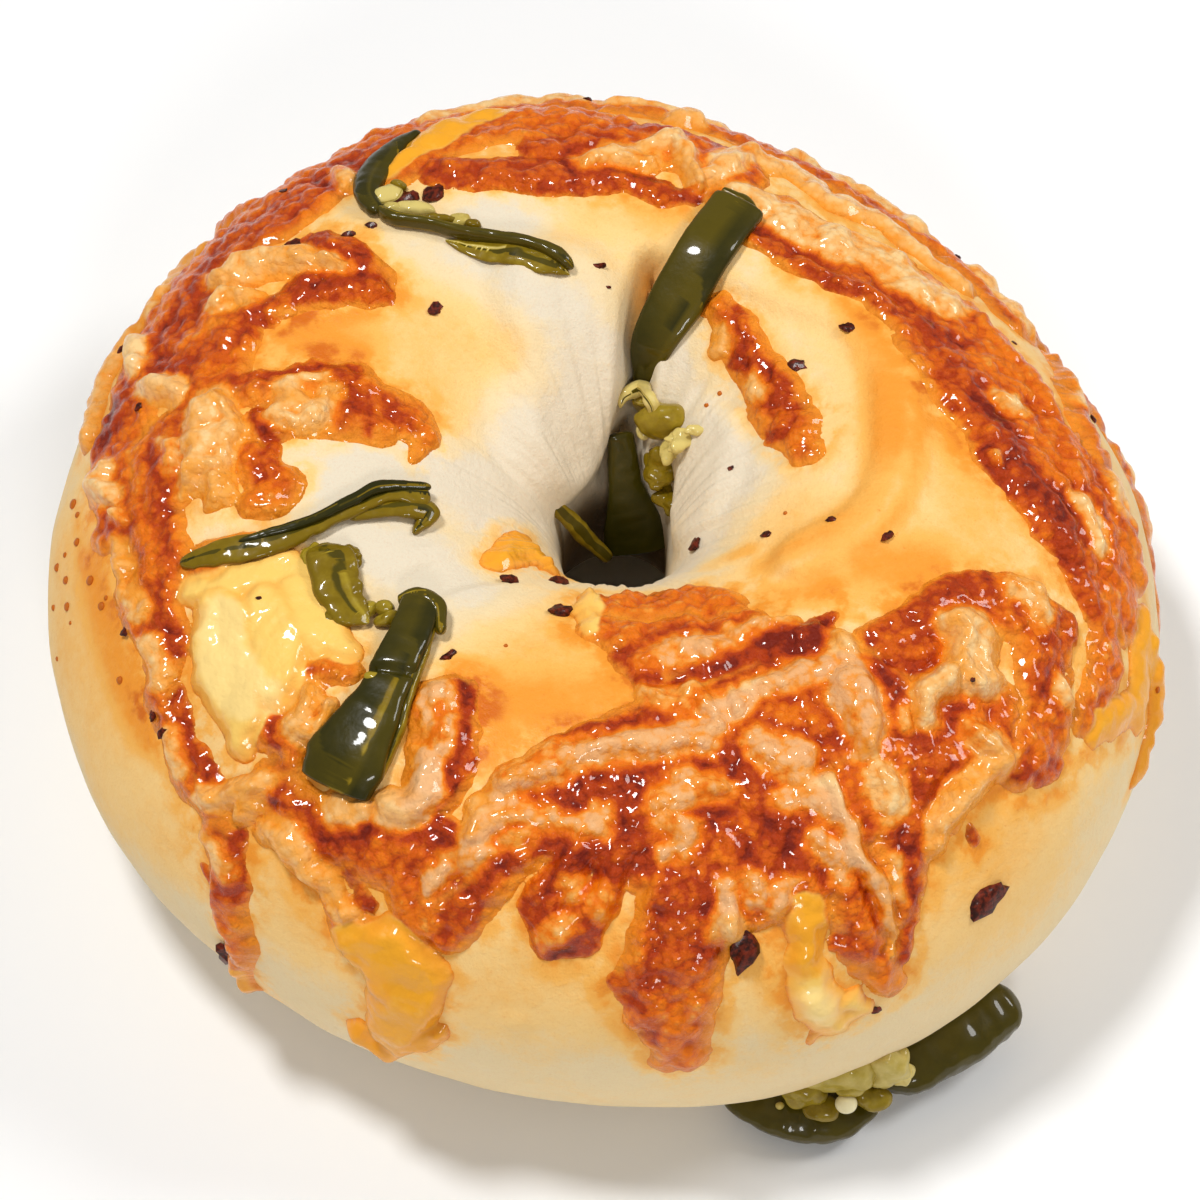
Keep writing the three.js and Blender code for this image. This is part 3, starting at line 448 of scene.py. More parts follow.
# Dark flakes: photo x, photo y, half length in millimetres and turn in degrees
FLAKES_SHOWN = [
    (436, 304, 0.8, 40), (598, 270, 0.7, 10), (847, 327, 0.8, -30), (794, 361, 1.0, -10), (730, 468, 0.4, 0),
    (887, 535, 0.7, 60), (561, 604, 1.1, 20), (561, 574, 1.1, 25), (510, 573, 0.9, 0), (220, 960, 1.7, 30),
    (740, 954, 2.1, 60), (995, 902, 2.1, 45), (877, 1016, 0.7, 10), (403, 195, 1.6, 45), (432, 187, 1.2, 60),
    (370, 221, 0.6, 0), (295, 250, 0.8, 0), (448, 650, 0.8, 40), (148, 715, 0.7, 50), (163, 735, 0.6, 30),
    (118, 630, 0.6, 60), (760, 529, 0.6, 10), (690, 541, 0.8, 30), (347, 230, 0.7, 10), (138, 409, 0.5, 60),
    (606, 289, 0.3, 0), (700, 297, 0.3, 0), (648, 455, 0.5, 0), (668, 458, 0.4, 40), (830, 521, 0.5, 20),
    (967, 684, 0.3, 60), (258, 602, 0.3, 0),
]
FLAKES_HIDDEN = {"count": 16, "from": 15, "to": 170, "lowest": 5, "highest": 50, "radius": 0.7, "seed": 11}


def smooth(value, low, high):
    """Rises smoothly from 0 at low to 1 at high."""
    share = np.clip((value - low) / (high - low), 0.0, 1.0)
    return share * share * (3.0 - 2.0 * share)


def round_ring(values, bearing):
    """A smooth closed curve through values that stand at equal steps round the ring."""
    values = np.asarray(values, float)
    turn = (np.asarray(bearing, float) % 360.0) / 360.0 * len(values)
    index = np.floor(turn).astype(int)
    t = turn - index
    before, here, after, later = (values[(index + step) % len(values)] for step in (-1, 0, 1, 2))
    cubic = (-before + 3 * here - 3 * after + later) * t**3
    square = (2 * before - 5 * here + 4 * after - later) * t**2
    return 0.5 * (2 * here + (after - before) * t + square + cubic)


def form_points(bearing, lift):
    """The plain dough ring, in millimetres."""
    outer = round_ring(OUTER_RADII, bearing)
    hole = round_ring(HOLE_RADII, bearing)
    crest = round_ring(CREST_HEIGHTS, bearing)
    belly = BELLY_SHARE * crest
    side = np.cos(np.radians(lift))
    rise = np.sin(np.radians(lift))
    reach = np.sign(side) * np.abs(side) ** ROUNDNESS
    radius = (outer + hole) / 2 + (outer - hole) / 2 * reach
    above = belly + (crest - belly) * np.abs(rise) ** ROUNDNESS
    below = belly + UNDERSIDE_DEPTH * belly * rise
    height = np.maximum(np.where(rise > 0, above, below), 0.0)
    turn = np.radians(bearing)
    return np.stack([radius * np.cos(turn), radius * np.sin(turn), height], -1) + HOLE_AXIS


def form_normals(bearing, lift, step=0.5):
    here = form_points(bearing, lift)
    round_way = form_points(bearing + step, lift) - here
    over_way = form_points(bearing, lift + step) - here
    normal = np.cross(round_way, over_way)
    return normal / np.maximum(np.linalg.norm(normal, axis=-1, keepdims=True), 1e-9)


class Pattern:
    """Smooth and cellular noise in millimetres, the same on every run."""

    CELLS = 32

    def __init__(self, seed):
        draw = np.random.default_rng(seed)
        self.values = draw.random((self.CELLS,) * 3)
        self.seats = draw.random((self.CELLS,) * 3 + (3,))

    def waves(self, points, size):
        """Noise from -1 to 1 that changes over about the given size."""
        place = points / size
        cell = np.floor(place).astype(int)
        part = place - cell
        part = part * part * (3 - 2 * part)
        total = 0.0
        for corner in np.ndindex(2, 2, 2):
            weight = np.prod(np.where(np.array(corner) == 1, part, 1 - part), -1)
            x, y, z = ((cell + corner) % self.CELLS).T
            total = total + weight * self.values[x, y, z]
        return 2 * total - 1

    def domes(self, points, size):
        """Round bumps from 0 to 1, about as wide as the given size."""
        place = points / size
        cell = np.floor(place).astype(int)
        nearness = np.zeros(len(points))
        for step in np.ndindex(3, 3, 3):
            near = cell + np.array(step) - 1
            x, y, z = (near % self.CELLS).T
            gap = near + self.seats[x, y, z] - place
            nearness += np.exp(-9.0 * (gap * gap).sum(-1))
        return np.clip(1 + np.log(nearness) / 6.0, 0.0, 1.0)


COARSE = Pattern(3)
FINE = Pattern(8)
# Shifts of the cheese's edge: pattern, height and size in millimetres
WARPS = [(COARSE, 0.8, 4.6), (FINE, 0.45, 1.9), (COARSE, 0.2, 0.9)]
WARP_AXIS_SHIFT = 17.0


class Stroke:
    """A route over the dough with a half width at each stop, laid close to the surface."""

    def __init__(self, places, widths):
        bearings, lifts, spans = [], [], []
        for (b0, l0), (b1, l1), w0, w1 in zip(places, places[1:], widths, widths[1:]):
            turn = (b1 - b0 + 540) % 360 - 180
            count = max(1, math.ceil(max(abs(turn), abs(l1 - l0)) / 5))
            for share in np.arange(count) / count:
                bearings.append(b0 + turn * share)
                lifts.append(l0 + (l1 - l0) * share)
                spans.append(w0 + (w1 - w0) * share)
        bearings.append(places[-1][0])
        lifts.append(places[-1][1])
        spans.append(widths[-1])
        self.points = form_points(np.array(bearings), np.array(lifts))
        self.widths = np.array(spans)

    def nearby(self, points, margin):
        """The points near it, and how far inside its edge each is, in millimetres."""
        reach = self.widths.max() + margin
        low = self.points.min(0) - reach
        high = self.points.max(0) + reach
        near = np.flatnonzero(((points > low) & (points < high)).all(-1))
        spots = points[near]
        depth = np.full(len(near), -margin)
        for start, end, w0, w1 in zip(self.points, self.points[1:], self.widths, self.widths[1:]):
            way = end - start
            share = np.clip((spots - start) @ way / max(way @ way, 1e-9), 0.0, 1.0)
            distance = np.linalg.norm(spots - start - share[:, None] * way, axis=-1)
            depth = np.maximum(depth, w0 + (w1 - w0) * share - distance)
        return near, depth

    def depth(self, points, margin):
        """How far inside its edge every point is, in millimetres, and -margin far from it."""
        near, found = self.nearby(points, margin)
        depth = np.full(len(points), -margin)
        depth[near] = found
        return depth


class PhotoMap:
    """Finds the place on the ring that a pixel of the photograph shows."""

    def __init__(self):
        tilt = math.radians(PHOTO_ELEVATION)
        self.back = np.array([0.0, -math.cos(tilt), math.sin(tilt)])
        self.right = np.array([1.0, 0.0, 0.0])
        self.up = np.cross(self.back, self.right)
        self.aim = HOLE_AXIS + (0.0, 0.0, PHOTO_AIM_HEIGHT)
        self.eye = self.aim + self.back * PHOTO_DISTANCE
        bearings = np.arange(0, 360, PHOTO_MAP_STEP)
        lifts = np.arange(*PHOTO_MAP_LIFTS, PHOTO_MAP_STEP)
        bearing, lift = np.meshgrid(bearings, lifts, indexing="ij")
        self.bearing, self.lift = bearing.ravel(), lift.ravel()
        normals = form_normals(self.bearing, self.lift)
        self.points = form_points(self.bearing, self.lift) + PHOTO_CHEESE_RISE * normals
        faces_eye = ((self.eye - self.points) * normals).sum(-1) > 0
        self.bearing, self.lift = self.bearing[faces_eye], self.lift[faces_eye]
        self.points = self.points[faces_eye]
        self.pixels, self.distance = self.project(self.points)

    def project(self, points):
        seen = points - self.eye
        away = -(seen @ self.back)
        scale = PHOTO_PIXELS_PER_MM * PHOTO_DISTANCE / away
        x = PHOTO_AIM_PIXEL[0] + scale * (seen @ self.right)
        y = PHOTO_AIM_PIXEL[1] - scale * (seen @ self.up)
        return np.stack([x, y], -1), away

    def place(self, x, y):
        """Bearing and lift of the front-most part of the ring at a pixel, or of its nearest edge."""
        off = np.hypot(self.pixels[:, 0] - x, self.pixels[:, 1] - y)
        near = off < max(PHOTO_NEAR_PIXELS, off.min() + 2.0)
        front = self.distance[near].min()
        held = np.where(near & (self.distance < front + PHOTO_FRONT_DEPTH), off, np.inf)
        best = held.argmin()
        return self.bearing[best], self.lift[best]

    def stroke(self, stops):
        return Stroke([self.place(x, y) for x, y, _ in stops], [width for _, _, width in stops])


PHOTO = PhotoMap()
FOLDS = [
    (kind, PHOTO.stroke([(x, y, width) for x, y in stops]), width, height)
    for kind, stops, width, height in DOUGH_FOLDS
]
CHEESE = [(tone, rise, PHOTO.stroke(stops)) for tone, rise, stops in CHEESE_SHOWN]
CHEESE += [
    (tone, rise, Stroke([stop[:2] for stop in stops], [stop[2] for stop in stops]))
    for tone, rise, stops in CHEESE_HIDDEN
]


def dough_relief(points):
    """Height of the dough's folds and swell over the plain form, in millimetres."""
    height = CRUST_SWELL * COARSE.waves(points, CRUST_SWELL_SIZE)
    height = height + FINE_SWELL * FINE.waves(points, FINE_SWELL_SIZE)
    off = points - HOLE_AXIS
    radius = np.hypot(off[:, 0], off[:, 1])
    turn = np.arctan2(off[:, 1], off[:, 0])
    rays = np.stack([20 * np.cos(turn), 20 * np.sin(turn), 0.11 * radius], -1)
    drawn = smooth(-radius, -30, -14) * smooth(points[:, 2], 24, 32)
    height = height + 0.2 * drawn * FINE.waves(rays, 1.3) + 0.12 * drawn * COARSE.waves(rays, 0.6)
    for kind, stroke, width, fold in FOLDS:
        inside = np.clip(stroke.depth(points, width) / width, 0, 1)
        section = inside * inside if kind == "sharp" else smooth(inside, 0, STROKE_SHOULDER)
        height = height + fold * section
    return height * smooth(points[:, 2], 0, 6)


def surface(bearing, lift):
    """Points and outward directions on the dough, in millimetres."""
    points = form_points(bearing, lift)
    normals = form_normals(bearing, lift)
    return points + dough_relief(points)[:, None] * normals, normals


def one_place(bearing, lift, rise=0.0):
    points, normals = surface(np.array([float(bearing)]), np.array([float(lift)]))
    return points[0] + rise * normals[0], normals[0]


def cheese_fields(bearing, lift):
    """Cover, height and tones of the cheese at places on the ring. Cover is in millimetres."""
    everywhere = form_points(bearing, lift)
    reach = np.full(len(everywhere), -CHEESE_MARGIN)
    for _, _, stroke in CHEESE:
        near, depth = stroke.nearby(everywhere, CHEESE_MARGIN)
        reach[near] = np.maximum(reach[near], depth)
    held = np.flatnonzero(reach > 0.1 - CHEESE_MARGIN)
    points = everywhere[held]
    warped = points + cheese_warp(points)
    cover = np.full(len(points), -CHEESE_MARGIN)
    raised = np.zeros(len(points))
    tones = {tone: np.zeros(len(points)) for tone in TONES}
    lumps = COARSE.domes(warped, LUMP_SIZE)
    blisters = FINE.domes(points, BLISTER_SIZE)
    beads = COARSE.domes(points, DROPLET_SIZE)
    grain = FINE.waves(points, GRAIN_SIZE)
    outline = np.zeros(len(points))
    for tone, rise, stroke in CHEESE:
        near, depth = stroke.nearby(warped, CHEESE_MARGIN)
        if tone != "dark":
            cover[near] = np.maximum(cover[near], depth)
        shoulder = min(2.4, stroke.widths.max())
        inside = np.clip((depth + 0.4) / shoulder, 0, 1)
        dome = rise * smooth(inside, 0, 1) * (0.6 + 0.4 * lumps[near])
        raised[near] = np.maximum(raised[near], dome) + 0.15 * np.minimum(raised[near], dome)
        tones[tone][near] = np.maximum(tones[tone][near], smooth(depth, -0.7, 0.9))
        if tone in ("tan", "pale"):
            outline[near] = np.maximum(outline[near], np.exp(-(((depth + 0.7) / 0.6) ** 2)))
    edge = np.sqrt(np.clip(1 - (1 - np.clip(cover / 1.7, 0, 1)) ** 2, 0, 1))
    yellow = np.maximum(tones["yellow"], tones["gold"])
    light = np.maximum(tones["tan"], tones["pale"])
    soft = 1 - 0.75 * yellow * (1 - 0.6 * tones["red"])
    grainy = soft * (1 - 0.6 * light)
    texture = 0.5 * soft * (blisters - 0.55) + 0.36 * grainy * (beads - 0.55) + 0.06 * grainy * grain
    tones["outline"] = outline * (1 - light) * (1 - yellow)
    tones["cover"] = cover
    tones["film"] = 1 - smooth(cover - 0.6 * raised, 0.0, 1.5)
    # How high the blisters and beads stand; the material darkens the colour where this is low, partly as
    # painted shade in the hollows
    tones["bump"] = 0.45 * blisters + 0.42 * beads + 0.13 * (0.5 + 0.5 * grain)
    tones["height"] = np.where(cover > 0, edge * (0.22 + raised + texture), 1.2 * cover)
    fields = {"cover": np.full(len(everywhere), -CHEESE_MARGIN)}
    for name, values in tones.items():
        fields.setdefault(name, np.zeros(len(everywhere)))[held] = values
    return fields


def cheese_warp(points):
    """Shifts that make the strokes' edges uneven, in millimetres."""
    ways = []
    for axis in range(3):
        moved = np.roll(points, axis, axis=-1) + WARP_AXIS_SHIFT * axis
        ways.append(sum(height * pattern.waves(moved, size) for pattern, height, size in WARPS))
    return np.stack(ways, -1)


def tint_at(points, routes):
    """Soft brush marks on the dough, from 0 to 1."""
    tint = np.zeros(len(points))
    for stops in routes:
        stroke = PHOTO.stroke(stops)
        reach = stroke.widths.max()
        tint = np.maximum(tint, smooth(stroke.depth(points, reach), -0.75 * reach, 0.8 * reach))
    return tint


def dough_tones(bearing, lift):
    points = form_points(bearing, lift)
    waves = COARSE.waves(points, 7.0)
    cover = np.full(len(points), -STAIN_MARGIN)
    for tone, _, stroke in CHEESE:
        if tone != "dark":
            cover = np.maximum(cover, stroke.depth(points, STAIN_MARGIN))
    rise = np.sin(np.radians(lift))
    bake = 0.22 + 0.16 * smooth(rise, -0.2, 0.75)
    bake = bake - 0.36 * tint_at(points, DOUGH_WHITE)
    bake = bake + 0.22 * tint_at(points, DOUGH_GOLDEN)
    bake = bake + 0.34 * tint_at(points, DOUGH_AMBER)
    inside = smooth(lift, 118, 150)
    bake = bake * (1 - 0.7 * inside)
    # Painted shade: the dough deep in the hole, and on the underside next to it, is marked for darkening
    deep = np.maximum(smooth(lift, 163, 178), smooth(-lift, 130, 165))
    return {"bake": bake + 0.07 * waves, "stain": smooth(cover + 0.9 * waves, -3.0, 0.3), "deep": deep}


def settings():
    return bpy.context.scene.bagel_sizes


def colours():
    return bpy.context.scene.bagel_colours


def add_object(name, mesh, material, nodes):
    """Puts a finished mesh in the scene, riding on the part, in place of the named nodes."""
    mesh.polygons.foreach_set("use_smooth", [True] * len(mesh.polygons))
    mesh.set_sharp_from_angle(angle=math.radians(SMOOTH_ANGLE))
    mesh.materials.append(material)
    piece = bpy.data.objects.new(name, mesh)
    bpy.context.scene.collection.objects.link(piece)
    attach(piece, "root")
    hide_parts(*nodes)
    return piece


def read_places(verts):
    return np.array([vertex.co[:] for vertex in verts], float).reshape(-1, 3)


def inside_box(points):
    """Eases back, in millimetres, what would stand past the part's box."""
    low, high = np.array(CAD_BOX) / MM
    low[2] = -BOX_EASE
    past = points - (high - BOX_EASE)
    points = np.where(past > 0, high + BOX_EASE * (np.tanh(past / BOX_EASE) - 1), points)
    past = low + BOX_EASE - points
    return np.where(past > 0, low - BOX_EASE * (np.tanh(past / BOX_EASE) - 1), points)


def place_verts(verts, points):
    for vertex, point in zip(verts, points * MM):
        vertex.co = point


def move_to(bm, points):
    place_verts(bm.verts, inside_box(points))


def to_mesh(bm, name, fields=None):
    bmesh.ops.recalc_face_normals(bm, faces=bm.faces)
    mesh = bpy.data.meshes.new(name)
    bm.to_mesh(mesh)
    bm.free()
    for field, values in (fields or {}).items():
        layer = mesh.attributes.new(field, "FLOAT", "POINT")
        layer.data.foreach_set("value", np.asarray(values, np.float32))
    return mesh


class Signal:
    """A shader socket that takes part in Python arithmetic."""

    def __init__(self, tree, socket):
        self.tree = tree
        self.socket = socket

    def math(self, operation, other=None, flip=False):
        terms = [self] if other is None else [self, other]
        if flip:
            terms.reverse()
        return self.tree.node("ShaderNodeMath", {"operation": operation}, dict(enumerate(terms)))

    def __add__(self, other):
        return self.math("ADD", other)

    def __radd__(self, other):
        return self.math("ADD", other)

    def __sub__(self, other):
        return self.math("SUBTRACT", other)

    def __rsub__(self, other):
        return self.math("SUBTRACT", other, flip=True)

    def __mul__(self, other):
        return self.math("MULTIPLY", other)

    def __rmul__(self, other):
        return self.math("MULTIPLY", other)


class Finish:
    """A material whose nodes are added one call at a time."""

    def __init__(self, name, **constants):
        self.material = bpy.data.materials.new(name)
        self.material.use_nodes = True
        self.nodes = self.material.node_tree.nodes
        self.links = self.material.node_tree.links
        self.shader = self.nodes["Principled BSDF"]
        for socket, value in constants.items():
            self.shader.inputs[socket.replace("_", " ")].default_value = value

    def node(self, kind, settings, inputs, output=0):
        node = self.nodes.new(kind)
        for key, value in settings.items():
            setattr(node, key, value)
        for key, value in inputs.items():
            self.feed(node.inputs[key], value)
        return Signal(self, node.outputs[output])

    def feed(self, socket, value):
        if isinstance(value, Signal):
            self.links.new(value.socket, socket)
        else:
            socket.default_value = value

    def field(self, name):
        return self.node("ShaderNodeAttribute", {"attribute_name": name}, {}, "Fac")

    def place(self):
        return self.node("ShaderNodeTexCoord", {}, {}, "Object")

    def noise(self, size_mm, detail=3.0, roughness=0.55):
        inputs = {"Scale": 1 / (size_mm * MM), "Detail": detail, "Roughness": roughness}
        return self.node("ShaderNodeTexNoise", {}, {"Vector": self.place(), **inputs}, "Fac")

    def step(self, value, low, high):
        """Rises smoothly from 0 at low to 1 at high."""
        inputs = {"Value": value, "From Min": low, "From Max": high}
        return self.node("ShaderNodeMapRange", {"interpolation_type": "SMOOTHSTEP"}, inputs, "Result")

    def mix(self, factor, first, second):
        settings = {"data_type": "RGBA", "clamp_factor": True}
        return self.node("ShaderNodeMix", settings, {0: factor, 6: first, 7: second}, 2)

    def ramp(self, value, stops):
        """Colours in order: the first plain, each later one with the two values it rises between."""
        colour = rgb(stops[0][0])
        for low, high, tone in stops[1:]:
            colour = self.mix(self.step(value, low, high), colour, rgb(tone))
        return colour

    def bump(self, height, distance_mm, strength):
        inputs = {"Height": height, "Distance": distance_mm * MM, "Strength": strength}
        return self.node("ShaderNodeBump", {}, inputs, "Normal")

    def set(self, **sockets):
        for socket, value in sockets.items():
            self.feed(self.shader.inputs[socket.replace("_", " ")], value)
        return self.material


def rgb(colour):
    return (*colour, 1.0)


def dough_finish():
    tones = colours()
    look = Finish("baked_dough", Specular_IOR_Level=0.22)
    cloud = look.noise(8.0, 4)
    mottle = look.noise(1.5, 4, 0.6)
    streak = look.noise(0.45, 3)
    stain = look.field("stain")
    bake = look.field("bake") + 0.22 * (cloud - 0.5) + 0.18 * (mottle - 0.5) + 0.08 * (streak - 0.5)
    bake = bake + stain * (0.08 + 0.42 * look.step(look.noise(3.0, 4), 0.35, 0.65))
    colour = look.ramp(bake, [
        (tones.dough_white,), (0.02, 0.22, tones.dough_cream), (0.22, 0.46, tones.dough_side),
        (0.44, 0.72, tones.dough_golden), (0.7, 0.98, tones.dough_amber), (0.98, 1.3, tones.dough_brown),
    ])
    freckle = look.step(streak, 0.64, 0.76) * look.step(cloud, 0.42, 0.66) * look.step(bake, 0.25, 0.6)
    colour = look.mix(freckle * 0.4, colour, rgb(tones.dough_brown))
    # Painted shade: the dough down in the hole is darkened towards a dark brown
    colour = look.mix(look.field("deep") * 0.9, colour, rgb(tones.dough_hole_shade))
    pores = look.noise(0.22, 2)
    colour = look.mix(look.step(pores, 0.5, 0.75) * 0.1, colour, rgb(tones.dough_brown))
    relief = look.noise(4.0, 3, 0.6) + 0.37 * mottle + 0.18 * streak + 0.19 * pores
    skin = look.bump(relief, 0.6, 0.5)
    return look.set(Base_Color=colour, Roughness=0.48 + 0.25 * mottle - 0.22 * stain, Normal=skin)


def cheese_finish():
    tones = colours()
    look = Finish("melted_cheese", Coat_Weight=0.5, Coat_Roughness=0.07, Specular_IOR_Level=0.08)
    mottle = look.noise(1.1, 5, 0.62)
    patch = look.noise(3.4, 4, 0.55)
    speck = look.noise(0.42, 3)
    cells = {"Vector": look.place(), "Scale": 1 / (BEAD_SIZE * MM)}
    beads = 1.0 - look.node("ShaderNodeTexVoronoi", {}, cells, "Distance")
    # Heat runs the colour from pale tan to red and dark brown. The browned strokes are the cheese's own
    # colour, while the darkening in the hollows between bumps and beads, with paler bump tops, is painted
    # shade and light
    heat = 0.1 + 0.22 * look.field("rust") + 0.58 * look.field("red") + 0.6 * look.field("dark")
    heat = heat - 1.1 * look.field("tan") - 1.5 * look.field("pale") + 0.45 * look.field("outline")
    heat = heat + 1.1 * (0.6 - look.field("bump")) + 1.0 * (mottle - 0.5) + 0.6 * (patch - 0.5)
    heat = heat + 0.5 * (speck - 0.5) + 0.7 * (0.6 - beads)
    colour = look.ramp(heat, [
        (tones.blister_pale,), (-1.3, -0.85, tones.blister), (-0.85, -0.45, tones.cheese_light),
        (-0.45, 0.0, tones.cheese_orange), (0.1, 0.55, tones.cheese_rust), (0.55, 1.05, tones.cheese_red),
        (1.15, 1.7, tones.cheese_dark),
    ])
    blush = look.step(0.0 - heat, 0.3, 0.9) * look.field("rust")
    colour = look.mix(blush * (0.3 + 0.6 * patch), colour, rgb(tones.blister_blush))
    mild = 0.3 + 0.7 * look.field("gold") - 0.7 * look.field("pale")
    mild = mild + 0.5 * (mottle - 0.5) + 0.7 * (patch - 0.5)
    mild = look.ramp(mild, [
        (tones.cheese_butter,), (-0.3, 0.3, tones.cheese_yellow), (0.4, 1.0, tones.cheese_gold),
    ])
    yellow = look.field("yellow") + look.field("gold") + 0.4 * (patch - 0.5) - 0.4 * look.field("red")
    colour = look.mix(look.step(yellow, 0.35, 0.8), colour, mild)
    film = look.field("film") * look.step(look.field("red") + mottle, 1.3, 0.7)
    colour = look.mix(film * 0.65, colour, rgb(tones.film))
    soft = look.step(look.field("yellow") + look.field("gold"), 0.35, 0.8)
    domed = look.step(look.field("tan") + look.field("pale"), 0.3, 0.8) * (1.0 - soft)
    calm = 1.0 - 0.75 * soft - 0.4 * domed
    crust = look.bump(((mottle - 0.5) + (beads - 0.5) + 0.7 * (speck - 0.5)) * calm, 0.4, 0.8)
    return look.set(Base_Color=colour, Roughness=0.2 + 0.25 * patch, Normal=crust)


def ring_shape(bearing_steps, lift_steps):
    """A torus made by spinning a circle, with the bearing and lift of each vertex."""
    bm = bmesh.new()
    circle = bmesh.ops.create_circle(bm, segments=lift_steps, radius=1.0)
    for vertex in circle["verts"]:
        vertex.co = (2 + vertex.co.x, 0.0, vertex.co.y)
    geom = bm.verts[:] + bm.edges[:]
    bmesh.ops.spin(
        bm, geom=geom, cent=(0, 0, 0), axis=(0, 0, 1), dvec=(0, 0, 0),
        angle=math.tau, steps=bearing_steps, use_merge=True, use_duplicate=False,
    )
    places = read_places(bm.verts)
    bearing = np.degrees(np.arctan2(places[:, 1], places[:, 0]))
    lift = np.degrees(np.arctan2(places[:, 2], np.hypot(places[:, 0], places[:, 1]) - 2))
    return bm, bearing, lift


class BAGEL_OT_dough(bpy.types.Operator):
    """Make the dough ring with its slit, folds and browned swirl"""

    bl_idname = "bagel.dough"
    bl_label = "Dough"

    def execute(self, context):
        sizes = settings()
        bm, bearing, lift = ring_shape(sizes.dough_bearings, sizes.dough_lifts)
        points, _ = surface(bearing, lift)
        move_to(bm, points)
        mesh = to_mesh(bm, "bagel_dough", dough_tones(bearing, lift))
        add_object("bagel_dough", mesh, dough_finish(), ["bagel"])
        return {"FINISHED"}


def cheese_sector(start, end, finish, name):
    """One sector of the cheese: a slab over bearing and lift, cut to its cover and laid on the dough."""
    sizes = settings()
    low, high = sizes.cheese_lowest_lift, sizes.cheese_highest_lift
    across = max(8, round((end - start) * sizes.cheese_density))
    over = max(8, round((high - low) * sizes.cheese_density * 0.5))
    bm = bmesh.new()
    bmesh.ops.create_grid(bm, x_segments=across, y_segments=over, size=1.0)
    places = read_places(bm.verts)
    bearing = start + (places[:, 0] + 1) / 2 * (end - start)
    lift = low + (places[:, 1] + 1) / 2 * (high - low)
    fields = cheese_fields(bearing, lift)
    cover = fields["cover"]
    cell = bm.verts.layers.int.new("cell")
    for index, vertex in enumerate(bm.verts):
        vertex[cell] = index
    spare = [face for face in bm.faces if max(cover[vertex[cell]] for vertex in face.verts) < CUT_COVER]
    bmesh.ops.delete(bm, geom=spare, context="FACES")
    top = bmesh.ops.extrude_face_region(bm, geom=bm.faces[:])
    for element in top["geom"]:
        if isinstance(element, bmesh.types.BMVert):
            element.co.z = 1.0
    cells = np.array([vertex[cell] for vertex in bm.verts])
    on_top = np.array([vertex.co.z > 0.5 for vertex in bm.verts])
    bm.verts.layers.int.remove(cell)
    points, normals = surface(bearing[cells], lift[cells])
    height = np.where(on_top, fields["height"][cells], -sizes.cheese_root)
    move_to(bm, points + height[:, None] * normals)
    layers = {tone: fields[tone][cells] for tone in (*TONES[1:], "bump", "film", "outline")}
    mesh = to_mesh(bm, name, layers)
    return add_object(name, mesh, finish, ["bagel"])


class BAGEL_OT_cheese(bpy.types.Operator):
    """Make the melted cheese in sectors, each a closed slab that lies on the dough"""

    bl_idname = "bagel.cheese"
    bl_label = "Cheese"

    def execute(self, context):
        finish = cheese_finish()
        for number, (start, end) in enumerate(zip(CHEESE_SECTORS, CHEESE_SECTORS[1:]), 1):
            cheese_sector(start, end, finish, f"cheese_{number}")
        return {"FINISHED"}


def spline(stops, share):
    """A smooth curve through stops, at shares of its length from 0 to 1."""
    stops = np.asarray(stops, float)
    at = np.clip(share, 0, 1) * (len(stops) - 1)
    index = np.minimum(at.astype(int), len(stops) - 2)
    t = (at - index)[:, None]
    padded = np.vstack([2 * stops[0] - stops[1], stops, 2 * stops[-1] - stops[-2]])
    before, here, after, later = (padded[index + step] for step in range(4))
    cubic = (-before + 3 * here - 3 * after + later) * t**3
    square = (2 * before - 5 * here + 4 * after - later) * t**2
    return 0.5 * (2 * here + (after - before) * t + square + cubic)


def unit(vectors):
    return vectors / np.maximum(np.linalg.norm(vectors, axis=-1, keepdims=True), 1e-9)


